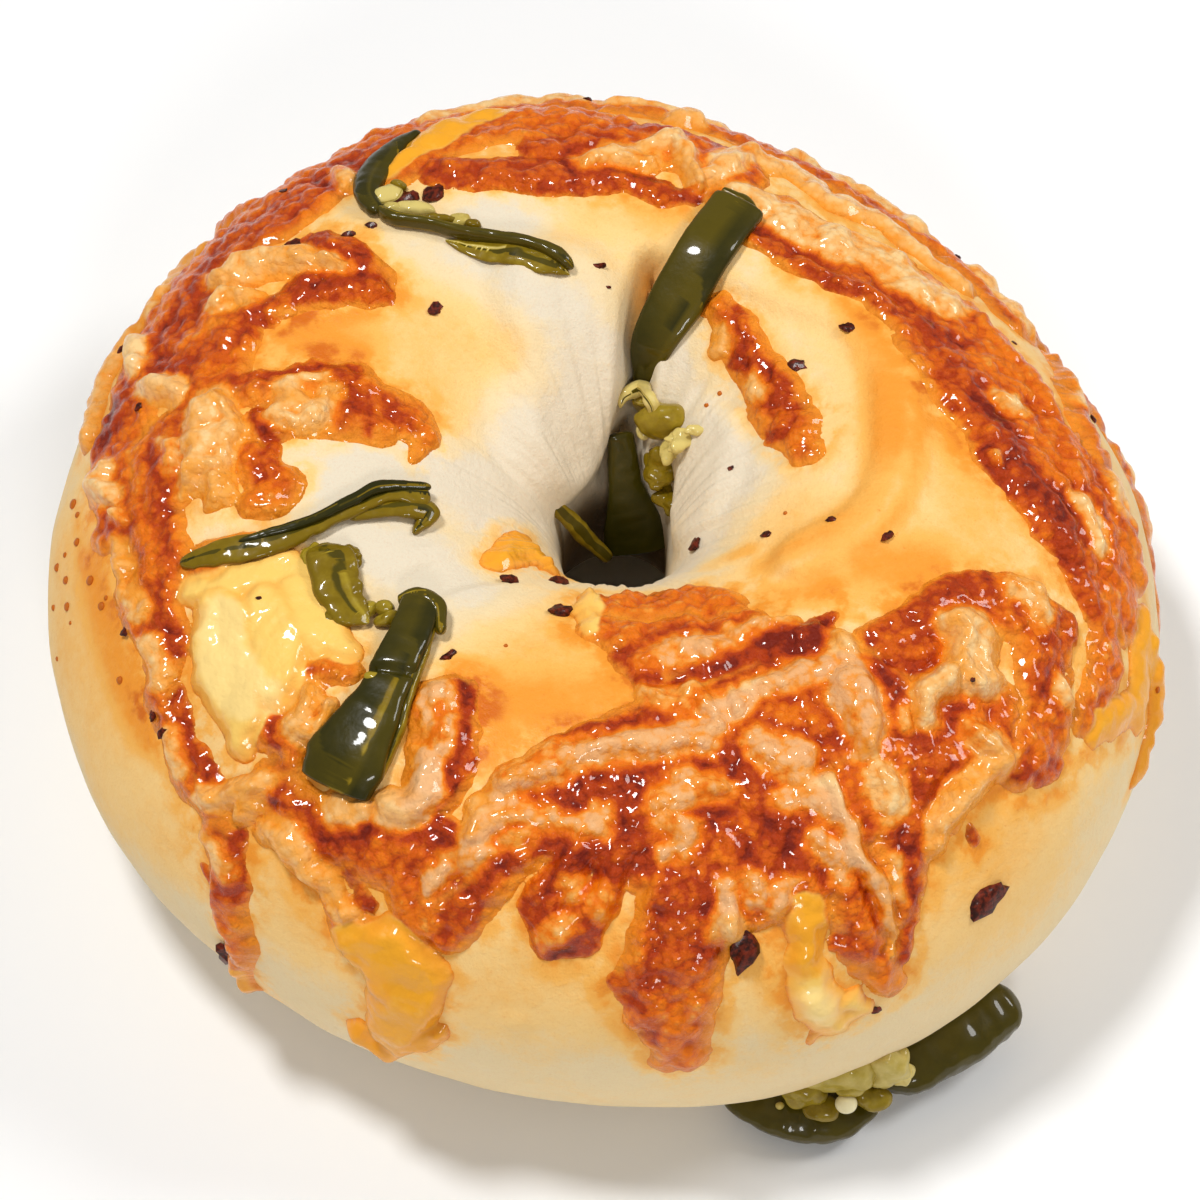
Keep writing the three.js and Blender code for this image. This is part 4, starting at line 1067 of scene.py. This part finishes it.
class Strip:
    """A pepper strip that follows stops, each a point with the way out of the crust there.

    Widths and heights are half sizes in millimetres along it. Skin covers the section round
    skin_side, in degrees from its left edge, out to skin_spread. A fold is a share of the length
    with a depth in millimetres.
    """

    def __init__(self, stops, widths, heights, skin_side=90.0, skin_spread=100.0, tone=0.0,
                 cup=0.0, dent=0.12, end=0.06, flat=0.75, folds=(), glow=(0.3, 0.3)):
        self.middle = [stop[0] for stop in stops]
        self.outside = [stop[0] + stop[1] for stop in stops]
        self.widths, self.heights = widths, heights
        self.skin_side, self.skin_spread, self.tone = skin_side, skin_spread, tone
        self.cup, self.dent, self.end, self.flat = cup, dent, end, flat
        # Painted light and shade along the skin: lighter where the strip catches the light, darker where it
        # runs down into shade, over a base tone
        self.folds, self.glow = folds, glow

    def build(self, bm):
        """Bends a sphere's rings along the route. Returns its tones."""
        sizes = settings()
        sides, rings = sizes.strip_sides, sizes.strip_rings
        made = bmesh.ops.create_uvsphere(bm, u_segments=sides, v_segments=rings, radius=1)
        verts = made["verts"]
        places = read_places(verts)
        fall = np.arccos(np.clip(places[:, 2], -1, 1)) / math.pi
        share = 0.6 * fall + 0.4 * (1 - places[:, 2]) / 2
        turn = np.arctan2(places[:, 1], places[:, 0])
        middle = spline(self.middle, share)
        tangent = unit(spline(self.middle, share + 0.01) - spline(self.middle, share - 0.01))
        facing = spline(self.outside, share) - middle
        across = unit(np.cross(tangent, facing))
        up = unit(np.cross(across, tangent))
        near_end = np.clip(np.minimum(share, 1 - share) / self.end, 0, 1)
        rounding = np.sqrt(1 - (1 - near_end) ** 2)
        side, rise = np.cos(turn), np.sin(turn)
        width = np.interp(share, np.linspace(0, 1, len(self.widths)), self.widths)
        height = np.interp(share, np.linspace(0, 1, len(self.heights)), self.heights)
        x = np.sign(side) * np.abs(side) ** self.flat * rounding
        y = np.sign(rise) * np.abs(rise) ** self.flat * rounding
        lifted = y * height - self.cup * (x * width) ** 2
        for at, depth in self.folds:
            lifted = lifted - depth * np.exp(-(((share - at - 0.02 * x) / 0.018) ** 2))
        points = middle + across * (x * width)[:, None] + up * lifted[:, None]
        outward = unit(across * x[:, None] + up * y[:, None])
        dents = self.dent * (COARSE.waves(points, 2.4) + 0.45 * FINE.waves(points, 0.8))
        points = points + outward * (dents * rounding)[:, None]
        place_verts(verts, points)
        off = np.abs((np.degrees(turn) - self.skin_side + 180) % 360 - 180)
        ragged = 9 * FINE.waves(points, 1.1)
        skin = smooth(self.skin_spread - off + ragged, -12, 12) * smooth(rounding, 0.3, 0.55)
        # Painted light and shade, read at even steps along the strip
        glow = np.interp(share, np.linspace(0, 1, len(self.glow)), self.glow)
        return {"skin": skin, "pale": np.full(len(verts), self.tone), "glow": glow}


class Lump:
    """A rounded lump of pepper flesh, or a seed. Its tone runs from 0, olive, to 1, cream."""

    def __init__(self, centre, radii, turn=0.0, tone=0.0, rough=0.18):
        self.centre = np.array(centre, float)
        self.radii = np.array(radii, float)
        self.turn = math.radians(turn)
        self.tone = tone
        self.rough = rough

    def build(self, bm):
        made = bmesh.ops.create_icosphere(bm, subdivisions=settings().lump_detail, radius=1)
        verts = made["verts"]
        ways = read_places(verts)
        size = self.radii.min()
        spots = ways * self.radii + self.centre
        waves = COARSE.waves(spots, 0.9 * size + 0.5) + 0.5 * FINE.waves(spots, 0.5 * size + 0.2)
        swell = 1 + self.rough * waves
        bent = ways * self.radii * swell[:, None]
        cos, sin = math.cos(self.turn), math.sin(self.turn)
        x = bent[:, 0] * cos - bent[:, 1] * sin
        y = bent[:, 0] * sin + bent[:, 1] * cos
        place_verts(verts, np.stack([x, y, bent[:, 2]], -1) + self.centre)
        blank = np.zeros(len(verts))
        return {"skin": blank, "pale": blank + self.tone, "glow": blank}


def on_photo(*stops):
    """Stops on the crust where the photograph shows them: photo x, photo y, rise in millimetres."""
    return [one_place(*PHOTO.place(x, y), rise) for x, y, rise in stops]


def in_open(*stops):
    """Stops off the crust, in millimetres from the hole's axis and the floor, with the way they face."""
    return [(HOLE_AXIS + place, np.array(way, float)) for place, way in stops]


def photo_lump(x, y, rise, *shape):
    return Lump(on_photo((x, y, rise))[0][0], *shape)


def open_lump(centre, *shape):
    return Lump(HOLE_AXIS + centre, *shape)


def curl_back():
    band = on_photo(
        (421, 131, 0.7), (398, 144, 0.9), (379, 161, 1.0), (369, 179, 1.0), (368, 196, 1.0), (379, 214, 0.9)
    )
    tail = on_photo(
        (376, 208, 0.7), (395, 219, 1.0), (425, 226, 1.1), (455, 231, 1.1), (490, 239, 1.0), (530, 251, 0.9),
        (555, 263, 0.8), (570, 276, 0.6),
    )
    under = on_photo((446, 236, 0.2), (480, 246, 0.3), (515, 258, 0.3), (545, 270, 0.3), (566, 280, 0.2))
    return [
        # Painted light and shade: the band's skin is lighter at its upper end and darker further down
        Strip(band, [0.4, 1.2, 1.9, 1.7, 1.2, 0.8], [0.6, 0.7], 60, 130, 0.1, cup=0.1,
              glow=(0.1, -0.3, -0.3)),
        Strip(tail, [0.5, 0.6, 0.55, 0.55, 0.6, 0.65, 0.75, 0.5], [0.8, 1.0, 0.8], 90, 120, 0.1),
        Strip(under, [0.5, 1.2, 1.5, 1.3, 0.4], [0.35, 0.45], 90, 5, 0.2, dent=0.25, end=0.25),
        photo_lump(386, 194, 0.5, (1.7, 1.3, 0.9), 20, 0.85),
        photo_lump(412, 205, 0.4, (2.1, 0.9, 0.8), -10, 0.75),
        photo_lump(392, 206, 0.4, (1.2, 0.8, 0.8), 0, 0.6),
        photo_lump(398, 184, 0.5, (0.9, 0.5, 0.8), -20, 0.2),
        photo_lump(432, 218, 0.6, (2.5, 0.7, 0.9), 5, 0.1),
        photo_lump(460, 216, 0.4, (1.2, 0.9, 0.7), 0, 0.6),
        photo_lump(473, 223, 0.5, (0.9, 0.7, 0.8), 0, 0.05),
    ]


def strip_fold():
    route = on_photo(
        (740, 206, 1.5), (708, 253, 1.1), (676, 300, 1.0), (652, 344, 1.0), (640, 380, 0.4), (633, 410, -0.6)
    )
    edge = on_photo((757, 218, 0.6), (745, 205, 0.9), (722, 192, 0.8))
    return [
        # Painted light and shade: the strip is lit near its top end and shaded where it runs down into the
        # slit
        Strip(route, [2.9, 2.9, 2.9, 2.3, 1.4, 0.9], [0.8, 0.8, 0.9, 1.2], 90, 95, cup=0.03, dent=0.07,
              end=0.015, flat=0.45, glow=(0.6, 0.65, 0.5, 0.2, -0.2, -0.4)),
        Strip(edge, [0.5, 0.6, 0.4], [0.7, 0.6], 90, 20, 0.15),
    ]


def strip_left():
    body = on_photo(
        (178, 564, 0.5), (215, 555, 0.8), (258, 546, 0.9), (300, 531, 0.9), (345, 511, 0.9), (385, 497, 0.9),
        (410, 497, 0.9), (430, 500, 0.8),
    )
    rim = on_photo((238, 546, 1.5), (300, 526, 1.6), (350, 504, 1.6), (378, 492, 1.6), (428, 491, 1.3))
    flap = on_photo((348, 514, 0.5), (385, 508, 0.7), (415, 508, 0.8), (427, 514, 0.7), (414, 530, 0.3))
    return [
        Strip(body, [0.8, 1.4, 1.3, 1.0, 0.9, 0.9, 1.0, 0.9], [0.55, 0.6], 90, 5, 0.12, dent=0.3),
        Strip(rim, [0.3, 0.5, 0.65, 0.7, 0.5], [0.4, 0.45], 90, 170, dent=0.12, glow=(-0.5, -0.5)),
        Strip(flap, [0.6, 1.1, 1.3, 1.0, 0.25], [0.4, 0.45], 90, 10, 0.1, dent=0.25),
    ]


def chunk_left():
    route = on_photo((322, 540, 0.6), (328, 562, 1.2), (336, 590, 1.3), (350, 610, 1.1), (366, 622, 0.7))
    return [
        Strip(route, [1.6, 2.2, 2.3, 1.9, 1.0], [0.5, 0.8, 0.8, 0.6], 90, 5, 0.15, dent=0.5, end=0.12,
              flat=0.6),
        photo_lump(318, 556, 0.4, (1.5, 1.6, 0.6), 20, 0.35, 0.35),
        photo_lump(320, 590, 0.5, (1.4, 1.8, 0.7), -10, 0.1, 0.35),
        photo_lump(337, 615, 0.4, (1.6, 1.2, 0.6), 10, 0.05, 0.35),
        photo_lump(352, 553, 0.6, (1.1, 1.0, 0.8), 0, 0.1, 0.35),
        photo_lump(356, 583, 0.6, (0.9, 0.7, 0.7), 0, 0.3, 0.35),
        photo_lump(366, 603, 0.6, (0.9, 0.9, 0.7), 0, 0.4, 0.35),
        photo_lump(385, 618, 0.6, (1.4, 0.8, 0.8), 20, 0.2, 0.35),
    ]


def strip_front():
    route = on_photo(
        (421, 600, 1.3), (411, 635, 1.7), (397, 665, 1.5), (382, 697, 1.3), (364, 730, 1.5), (345, 762, 1.6),
        (331, 790, 1.2),
    )
    rim = on_photo(
        (432, 622, 1.1), (424, 650, 1.0), (411, 685, 0.9), (403, 712, 0.8), (390, 750, 0.7), (372, 792, 0.6)
    )
    back = on_photo((398, 603, 1.3), (418, 601, 1.6), (436, 611, 1.5), (439, 636, 1.2))
    return [
        # Painted light and shade: the strip's upper half is lit and its lower half shaded
        Strip(route, [1.9, 2.1, 2.2, 2.4, 3.2, 4.2, 3.6], [0.8, 0.9, 1.0, 1.0], 90, 105, cup=0.03, dent=0.12,
              end=0.025, flat=0.5, folds=[(0.4, 0.75)], glow=(0.1, 0.1, -0.35, -0.35)),
        Strip(rim, [0.5, 0.55, 0.5, 0.4, 0.35, 0.3], [0.6, 0.6], 90, 10, 0.22),
        Strip(back, [0.7, 0.9, 0.9, 0.6], [0.7, 0.7], 90, 60, 0.15, dent=0.2),
        photo_lump(383, 606, 1.0, (0.9, 0.7, 0.8), 0, 0.25, 0.3),
        photo_lump(374, 684, 1.6, (1.0, 0.6, 0.6), -20, 0.3, 0.2),
    ]


def strip_hole():
    route = in_open(
        ((0.4, 12.6, 30.6), (0.3, -0.9, 0.4)), ((1, 9.4, 26), (0.2, -0.9, 0.5)),
        ((1.8, 7.2, 21.5), (0.1, -0.8, 0.6)), ((2.2, 5.8, 18.5), (0, -0.7, 0.7)),
    )
    # Painted shade: the strip darkens as it goes down into the hole
    return [Strip(route, [1.4, 1.8, 3.1, 3.7], [0.7, 0.8], 90, 120, cup=0.03, end=0.03, glow=(-0.1, -0.45))]


def sliver_hole():
    route = in_open(
        ((-7.4, 4.9, 29.5), (0.5, -0.5, 0.7)), ((-5, 4.6, 26.5), (0.4, -0.6, 0.7)),
        ((-2.9, 4.3, 23), (0.3, -0.6, 0.7)), ((-0.6, 3.9, 20), (0.1, -0.6, 0.8)),
    )
    return [Strip(route, [0.7, 0.9, 0.9, 0.6], [0.5, 0.5], 90, 20, 0.2)]


def core_hole():
    ring = on_photo(
        (620, 412, 1.0), (624, 400, 1.6), (638, 394, 1.9), (652, 398, 1.8), (657, 410, 1.4), (650, 420, 1.0)
    )
    return [
        open_lump((4.8, 12.4, 32.6), (2.8, 1.6, 2.6), -10, 0.3),
        open_lump((6.6, 11.6, 31.6), (1.9, 1.3, 2), -25, 0.6),
        open_lump((4.6, 10, 28.4), (1.3, 1.2, 2.6), 10, 0.2),
        Strip(ring, [0.45, 0.65, 0.7, 0.7, 0.6, 0.4], [0.6, 0.6], 90, 5, 1.0, dent=0.2, end=0.2),
        photo_lump(638, 408, 0.7, (1.3, 0.9, 0.7), 0, 0.45, 0.25),
        photo_lump(664, 416, 0.6, (1.7, 1.4, 0.8), 20, 0.4, 0.3),
        photo_lump(640, 437, 0.9, (0.7, 1.0, 0.7), 0, 1.05, 0.2),
        photo_lump(684, 440, 0.4, (2.0, 1.1, 0.7), 25, 0.8, 0.5),
        photo_lump(698, 431, 0.3, (1.0, 0.6, 0.5), 10, 0.9, 0.4),
        photo_lump(672, 450, 0.4, (1.0, 1.4, 0.7), -20, 0.7, 0.5),
        photo_lump(630, 425, 0.8, (0.7, 1.1, 0.6), 0, 0.8, 0.4),
        photo_lump(657, 470, 0.5, (1.8, 2.4, 0.9), 0, 0.15, 0.45),
        photo_lump(664, 498, 0.4, (1.3, 2.2, 0.9), 10, 0.05, 0.45),
    ]


def half_right():
    route = in_open(
        ((26.5, -49.4, 4.2), (0, -0.3, 1)), ((30, -47.4, 4.6), (0, -0.3, 1)), ((34, -44.8, 5), (0, -0.3, 1)),
        ((38, -41.8, 5), (0, -0.3, 1)), ((40.6, -40, 5), (0, -0.3, 1)),
    )
    # Painted light and shade: the skin is darker at its left end and lighter at its right
    return [Strip(route, [1.6, 2.9, 3.2, 3.1, 2.3], [1.8, 2.3, 2.3], 90, 165, dent=0.22, end=0.16,
                  glow=(0.1, 0.3))]


def half_left():
    route = in_open(
        ((10.6, -50.2, 3.2), (0, -0.3, 1)), ((16, -51.8, 3.2), (0, -0.3, 1)), ((21, -52.4, 3), (0, -0.3, 1)),
        ((26.4, -51.4, 2.8), (0, -0.3, 1)),
    )
    return [Strip(route, [1.2, 2.7, 2.8, 1.4], [1.2, 1.7, 1.4], 90, 165, dent=0.25, end=0.2)]


def flesh_front():
    return [
        open_lump((21.6, -50.8, 9.8), (3.6, 2.0, 2.2), 0, 0.55, 0.3),
        open_lump((18.8, -51.8, 7.6), (2.4, 1.7, 1.7), 0, 0.3, 0.35),
        open_lump((24.0, -51.4, 8.6), (2.2, 1.5, 1.8), 20, 0.5, 0.35),
        open_lump((22.8, -53.3, 7.6), (1.1, 1.0, 1.0), 0, 1.4, 0.06),
        open_lump((27.0, -50.4, 9.6), (2.1, 1.6, 3.0), -10, 0.65, 0.4),
        open_lump((28.6, -50.6, 8.4), (1.4, 1.0, 1.5), 0, 0.9, 0.4),
        open_lump((25.4, -51.9, 6.2), (1.6, 1.1, 1.3), 0, 0.25, 0.35),
        open_lump((20.6, -53.0, 5.8), (1.8, 1.2, 1.2), 0, 0.2, 0.35),
        open_lump((16.3, -52.4, 5.4), (0.45, 0.4, 0.45), 0, 0.6, 0.1),
    ]


PEPPERS = [
    ("pepper_curl_back", "pepper_skin", curl_back), ("pepper_strip_fold", "pepper_skin", strip_fold),
    ("pepper_strip_left", "pepper_skin", strip_left), ("pepper_chunk_left", "pepper_flesh", chunk_left),
    ("pepper_strip_front", "pepper_skin", strip_front), ("pepper_strip_hole", "pepper_skin", strip_hole),
    ("pepper_sliver_hole", "pepper_flesh", sliver_hole), ("pepper_core_hole", "pepper_flesh", core_hole),
    ("pepper_half_right", "pepper_skin", half_right), ("pepper_half_left", "pepper_skin", half_left),
    ("pepper_flesh_front", "pepper_flesh", flesh_front),
]


def pepper_finish():
    tones = colours()
    look = Finish("green_pepper", Coat_Weight=0.42, Coat_Roughness=0.05, Specular_IOR_Level=0.08)
    mottle = look.noise(1.2, 4, 0.6)
    speck = look.noise(0.4, 3)
    patch = look.noise(3.0, 3)
    # Skin tone from random patches, plus the painted light and shade given along each strip
    shade = look.step(patch + 0.3 * (mottle - 0.5), 0.1, 0.9) * 0.35 + 0.3 + look.field("glow")
    skin = look.mix(shade, rgb(tones.pepper_dark), rgb(tones.pepper_green))
    pale = look.field("pale") + 0.35 * (mottle - 0.5) + 0.25 * (patch - 0.5)
    flesh = look.ramp(pale, [
        (tones.pepper_green,), (-0.15, 0.1, tones.flesh_olive), (0.1, 0.45, tones.flesh_green),
        (0.4, 0.8, tones.flesh_pale), (1.0, 1.3, tones.seed),
    ])
    colour = look.mix(look.step(look.field("skin") + 0.4 * (mottle - 0.5), 0.4, 0.6), flesh, skin)
    bump = look.bump(patch + 0.54 * mottle + 0.19 * speck, 0.3, 0.3)
    return look.set(Base_Color=colour, Roughness=0.28 + 0.15 * mottle, Normal=bump)


class BAGEL_OT_peppers(bpy.types.Operator):
    """Make the green pepper strips, the halves at the front and the pieces in the hole"""

    bl_idname = "bagel.peppers"
    bl_label = "Peppers"

    def execute(self, context):
        finish = pepper_finish()
        for name, slot, shapes in PEPPERS:
            bm = bmesh.new()
            tones = [shape.build(bm) for shape in shapes()]
            layers = {field: np.concatenate([tone[field] for tone in tones]) for field in tones[0]}
            add_object(f"green_{name}", to_mesh(bm, name, layers), finish, [name])
        return {"FINISHED"}


def flake_finish():
    tones = colours()
    look = Finish("dark_flakes", Coat_Weight=0.1, Coat_Roughness=0.1, Specular_IOR_Level=0.15)
    mottle = look.noise(0.5, 3)
    colour = look.mix(look.step(mottle, 0.35, 0.7), rgb(tones.flake_dark), rgb(tones.flake_red))
    colour = look.mix(look.field("crumb"), colour, rgb(tones.crumb))
    return look.set(Base_Color=colour, Roughness=0.35 + 0.2 * mottle, Normal=look.bump(mottle, 0.15, 0.6))


class BAGEL_OT_flakes(bpy.types.Operator):
    """Lay the dark flakes on the crust and the cheese, as one joined piece"""

    bl_idname = "bagel.flakes"
    bl_label = "Flakes"

    def execute(self, context):
        draw = np.random.default_rng(FLAKES_HIDDEN["seed"])
        laid = [(*PHOTO.place(x, y), radius, turn, 0) for x, y, radius, turn in FLAKES_SHOWN]
        laid += [(*PHOTO.place(x, y), radius, 0, 1) for x, y, radius in CRUMBS_SHOWN]
        for index in range(FLAKES_HIDDEN["count"]):
            step = (index + draw.random()) / FLAKES_HIDDEN["count"]
            bearing = FLAKES_HIDDEN["from"] + (FLAKES_HIDDEN["to"] - FLAKES_HIDDEN["from"]) * step
            lift = draw.uniform(FLAKES_HIDDEN["lowest"], FLAKES_HIDDEN["highest"])
            radius = FLAKES_HIDDEN["radius"] * draw.uniform(0.4, 1.3)
            laid.append((bearing, lift, radius, draw.uniform(0, 180), 0))
        bearing, lift, radius, turn, crumb = np.array(laid).T
        height = np.maximum(cheese_fields(bearing, lift)["height"], 0)
        points, normals = surface(bearing, lift)
        bm = bmesh.new()
        brown = []
        for place, out, rise, size, spin, mild in zip(points, normals, height, radius, turn, crumb):
            verts = bmesh.ops.create_icosphere(bm, subdivisions=2, radius=1)["verts"]
            ways = read_places(verts)
            ragged = 1 + (0.7 - 0.5 * mild) * FINE.waves(ways + 5 * bearing.sum() + 3 * len(brown), 0.7)
            flat = (0.9, 0.9, 0.6) if mild else (1.0, draw.uniform(0.6, 0.85), draw.uniform(0.35, 0.5))
            shape = ways * ragged[:, None] * size * flat
            brown += [mild] * len(verts)
            heading = math.radians(spin + 90)
            along = unit(np.cross(out, (math.cos(heading), math.sin(heading), 0.01)))
            side = np.cross(out, along)
            centre = place + out * (rise + 0.1 * size)
            for vertex, (x, y, z) in zip(verts, shape):
                vertex.co = (centre + x * along + y * side + z * out) * MM
        mesh = to_mesh(bm, "dark_flakes", {"crumb": np.array(brown)})
        add_object("dark_flakes", mesh, flake_finish(), ["bagel"])
        mesh.set_sharp_from_angle(angle=math.radians(FLAKE_ANGLE))
        return {"FINISHED"}


class BAGEL_OT_stage(bpy.types.Operator):
    """Make the pale floor, the soft studio light and the photograph's camera"""

    bl_idname = "bagel.stage"
    bl_label = "Stage"

    def execute(self, context):
        scene = context.scene
        sizes = settings()
        bm = bmesh.new()
        bmesh.ops.create_grid(bm, x_segments=1, y_segments=1, size=sizes.floor_half_width)
        mesh = bpy.data.meshes.new("floor")
        bm.to_mesh(mesh)
        bm.free()
        floor_look = Finish("pale_floor", Roughness=0.8)
        speckle = floor_look.noise(40.0, 2)
        floor_look.set(Base_Color=floor_look.mix(speckle, rgb(colours().floor), rgb(colours().floor_speckle)))
        mesh.materials.append(floor_look.material)
        floor = bpy.data.objects.new("floor", mesh)
        scene.collection.objects.link(floor)
        for name, (place, width) in LIGHTS.items():
            self.add_light(name, place, width, getattr(sizes, f"{name}_power"))
        world = bpy.data.worlds.new("studio")
        world.use_nodes = True
        world.node_tree.nodes["Background"].inputs["Color"].default_value = (1, 1, 1, 1)
        world.node_tree.nodes["Background"].inputs["Strength"].default_value = sizes.room_light
        scene.world = world
        scene.view_settings.view_transform = "Standard"
        self.add_camera(scene)
        return {"FINISHED"}

    def add_light(self, name, place, width, power):
        data = bpy.data.lights.new(name, "AREA")
        data.shape = "DISK"
        data.size = width
        data.energy = power
        lamp = bpy.data.objects.new(name, data)
        lamp.location = place
        lamp.rotation_euler = (-Vector(place)).to_track_quat("-Z", "Y").to_euler()
        bpy.context.scene.collection.objects.link(lamp)

    def add_camera(self, scene):
        data = bpy.data.cameras.new("photo_camera")
        data.sensor_width = 36.0
        data.lens = PHOTO_PIXELS_PER_MM * PHOTO_DISTANCE / PHOTO_SIZE * data.sensor_width
        camera = bpy.data.objects.new("photo_camera", data)
        middle = PHOTO_SIZE / 2
        right = (middle - PHOTO_AIM_PIXEL[0]) / PHOTO_PIXELS_PER_MM
        up = (PHOTO_AIM_PIXEL[1] - middle) / PHOTO_PIXELS_PER_MM
        eye = (PHOTO.eye + right * PHOTO.right + up * PHOTO.up) * MM
        camera.location = eye
        camera.rotation_euler = Vector(-PHOTO.back).to_track_quat("-Z", "Y").to_euler()
        scene.collection.objects.link(camera)
        scene.camera = camera


def colour_prop(name, description, default):
    return bpy.props.FloatVectorProperty(
        name=name, description=description, subtype="COLOR", size=3, min=0.0, max=1.0, default=default
    )


def count_prop(name, description, default, **limits):
    return bpy.props.IntProperty(name=name, description=description, default=default, **limits)


def size_prop(name, description, default, **limits):
    return bpy.props.FloatProperty(name=name, description=description, default=default, **limits)


class BagelSizes(bpy.types.PropertyGroup):
    """Sizes and powers that a user may change"""

    dough_bearings: count_prop("Dough bearings", "Steps round the ring", 400, min=60)
    dough_lifts: count_prop("Dough lifts", "Steps over the section", 210, min=30)
    cheese_density: size_prop("Cheese density", "Steps a degree of bearing", 3.0, min=0.5)
    cheese_lowest_lift: size_prop("Lowest lift", "Where the cheese ends, in degrees", -30.0)
    cheese_highest_lift: size_prop("Highest lift", "Where the cheese ends, in degrees", 165.0)
    cheese_root: size_prop("Cheese root", "Depth of the slab in the dough, in millimetres", 0.8)
    strip_sides: count_prop("Strip sides", "Sides of a strip's section", 32, min=8)
    strip_rings: count_prop("Strip rings", "Rings along a strip", 110, min=12)
    lump_detail: count_prop("Lump detail", "Subdivisions of a lump", 5, min=2, max=6)
    floor_half_width: size_prop("Floor half width", "Half the floor's side", 2.0, unit="LENGTH")
    key_power: size_prop("Key light", "Power of the large light at the back left", 2.8, unit="POWER")
    fill_power: size_prop("Fill light", "Power of the light at the right", 1.5, unit="POWER")
    front_power: size_prop("Front light", "Power of the light at the front", 1.1, unit="POWER")
    room_light: size_prop("Room light", "Strength of the even light all round", 0.24)


class BagelColours(bpy.types.PropertyGroup):
    """Colours that a user may change"""

    dough_white: colour_prop("White dough", "Dough that the heat barely reached", (0.78, 0.68, 0.51))
    dough_cream: colour_prop("Cream dough", "Dough on the lower side", (0.86, 0.67, 0.38))
    dough_side: colour_prop("Side dough", "Lightly baked dough", (0.94, 0.61, 0.23))
    dough_golden: colour_prop("Golden dough", "Well baked dough", (0.93, 0.46, 0.09))
    dough_amber: colour_prop("Amber dough", "Browned ridge of the dough", (0.88, 0.32, 0.03))
    dough_brown: colour_prop("Brown dough", "Dough that took the most heat or oil", (0.66, 0.15, 0.008))
    # Painted shade: the dark brown laid on the dough down in the hole
    dough_hole_shade: colour_prop("Deep dough", "Oily dough down in the hole", (0.13, 0.065, 0.01))
    crumb: colour_prop("Crumbs", "Small browned crumbs of cheese", (0.52, 0.13, 0.008))
    film: colour_prop("Film", "Thin edge of the melted cheese", (0.88, 0.33, 0.025))
    cheese_light: colour_prop("Light orange cheese", "Melted cheese, lighter", (0.86, 0.30, 0.035))
    cheese_orange: colour_prop("Orange cheese", "Melted cheese", (0.80, 0.17, 0.003))
    cheese_rust: colour_prop("Rust cheese", "Browned cheese", (0.64, 0.10, 0.002))
    cheese_red: colour_prop("Red cheese", "Strongly browned cheese", (0.42, 0.04, 0.002))
    cheese_dark: colour_prop("Dark cheese", "Nearly burnt cheese", (0.20, 0.014, 0.003))
    cheese_butter: colour_prop("Butter cheese", "Palest melted cheese", (0.96, 0.68, 0.24))
    cheese_yellow: colour_prop("Yellow cheese", "Cheese that isn't browned", (0.95, 0.60, 0.14))
    cheese_gold: colour_prop("Gold cheese", "Cheese that is a little browned", (0.88, 0.38, 0.02))
    blister: colour_prop("Blister", "Tan top of the raised cheese", (0.89, 0.45, 0.13))
    blister_pale: colour_prop("Pale blister", "Palest part of the raised cheese", (0.92, 0.60, 0.26))
    blister_blush: colour_prop("Blush blister", "Raised cheese of the front strands", (0.81, 0.39, 0.18))
    pepper_dark: colour_prop("Dark pepper", "Pepper skin where it is darkest", (0.024, 0.022, 0.002))
    pepper_green: colour_prop("Green pepper", "Pepper skin", (0.088, 0.064, 0.003))
    flesh_olive: colour_prop("Olive flesh", "Flesh of the pepper", (0.19, 0.12, 0.003))
    flesh_green: colour_prop("Green flesh", "Lighter flesh of the pepper", (0.38, 0.27, 0.02))
    flesh_pale: colour_prop("Pale flesh", "Core and seeds of the pepper", (0.66, 0.52, 0.16))
    seed: colour_prop("Seed", "Cream seeds", (0.86, 0.76, 0.45))
    flake_dark: colour_prop("Dark flake", "Dark part of a flake", (0.03, 0.005, 0.002))
    flake_red: colour_prop("Red flake", "Redder part of a flake", (0.17, 0.02, 0.006))
    floor: colour_prop("Floor", "Pale floor", (0.95, 0.95, 0.95))
    floor_speckle: colour_prop("Floor speckle", "Faint patches of the floor", (0.94, 0.94, 0.935))


class BAGEL_PT_panel(bpy.types.Panel):
    """Lists the bagel's operators in the sidebar"""

    bl_idname = "BAGEL_PT_panel"
    bl_label = "Bagel"
    bl_space_type = "VIEW_3D"
    bl_region_type = "UI"
    bl_category = "Bagel"

    def draw(self, context):
        for operator in OPERATORS:
            self.layout.operator(operator.bl_idname)


OPERATORS = (BAGEL_OT_stage, BAGEL_OT_dough, BAGEL_OT_cheese, BAGEL_OT_peppers, BAGEL_OT_flakes)
CLASSES = (BagelSizes, BagelColours, *OPERATORS, BAGEL_PT_panel)


def register():
    for item in CLASSES:
        bpy.utils.register_class(item)
    bpy.types.Scene.bagel_sizes = bpy.props.PointerProperty(type=BagelSizes)
    bpy.types.Scene.bagel_colours = bpy.props.PointerProperty(type=BagelColours)


def unregister():
    del bpy.types.Scene.bagel_colours
    del bpy.types.Scene.bagel_sizes
    for item in reversed(CLASSES):
        bpy.utils.unregister_class(item)


def main():
    register()
    for operator in OPERATORS:
        family, name = operator.bl_idname.split(".")
        getattr(getattr(bpy.ops, family), name)()


if __name__ == "__main__":
    main()
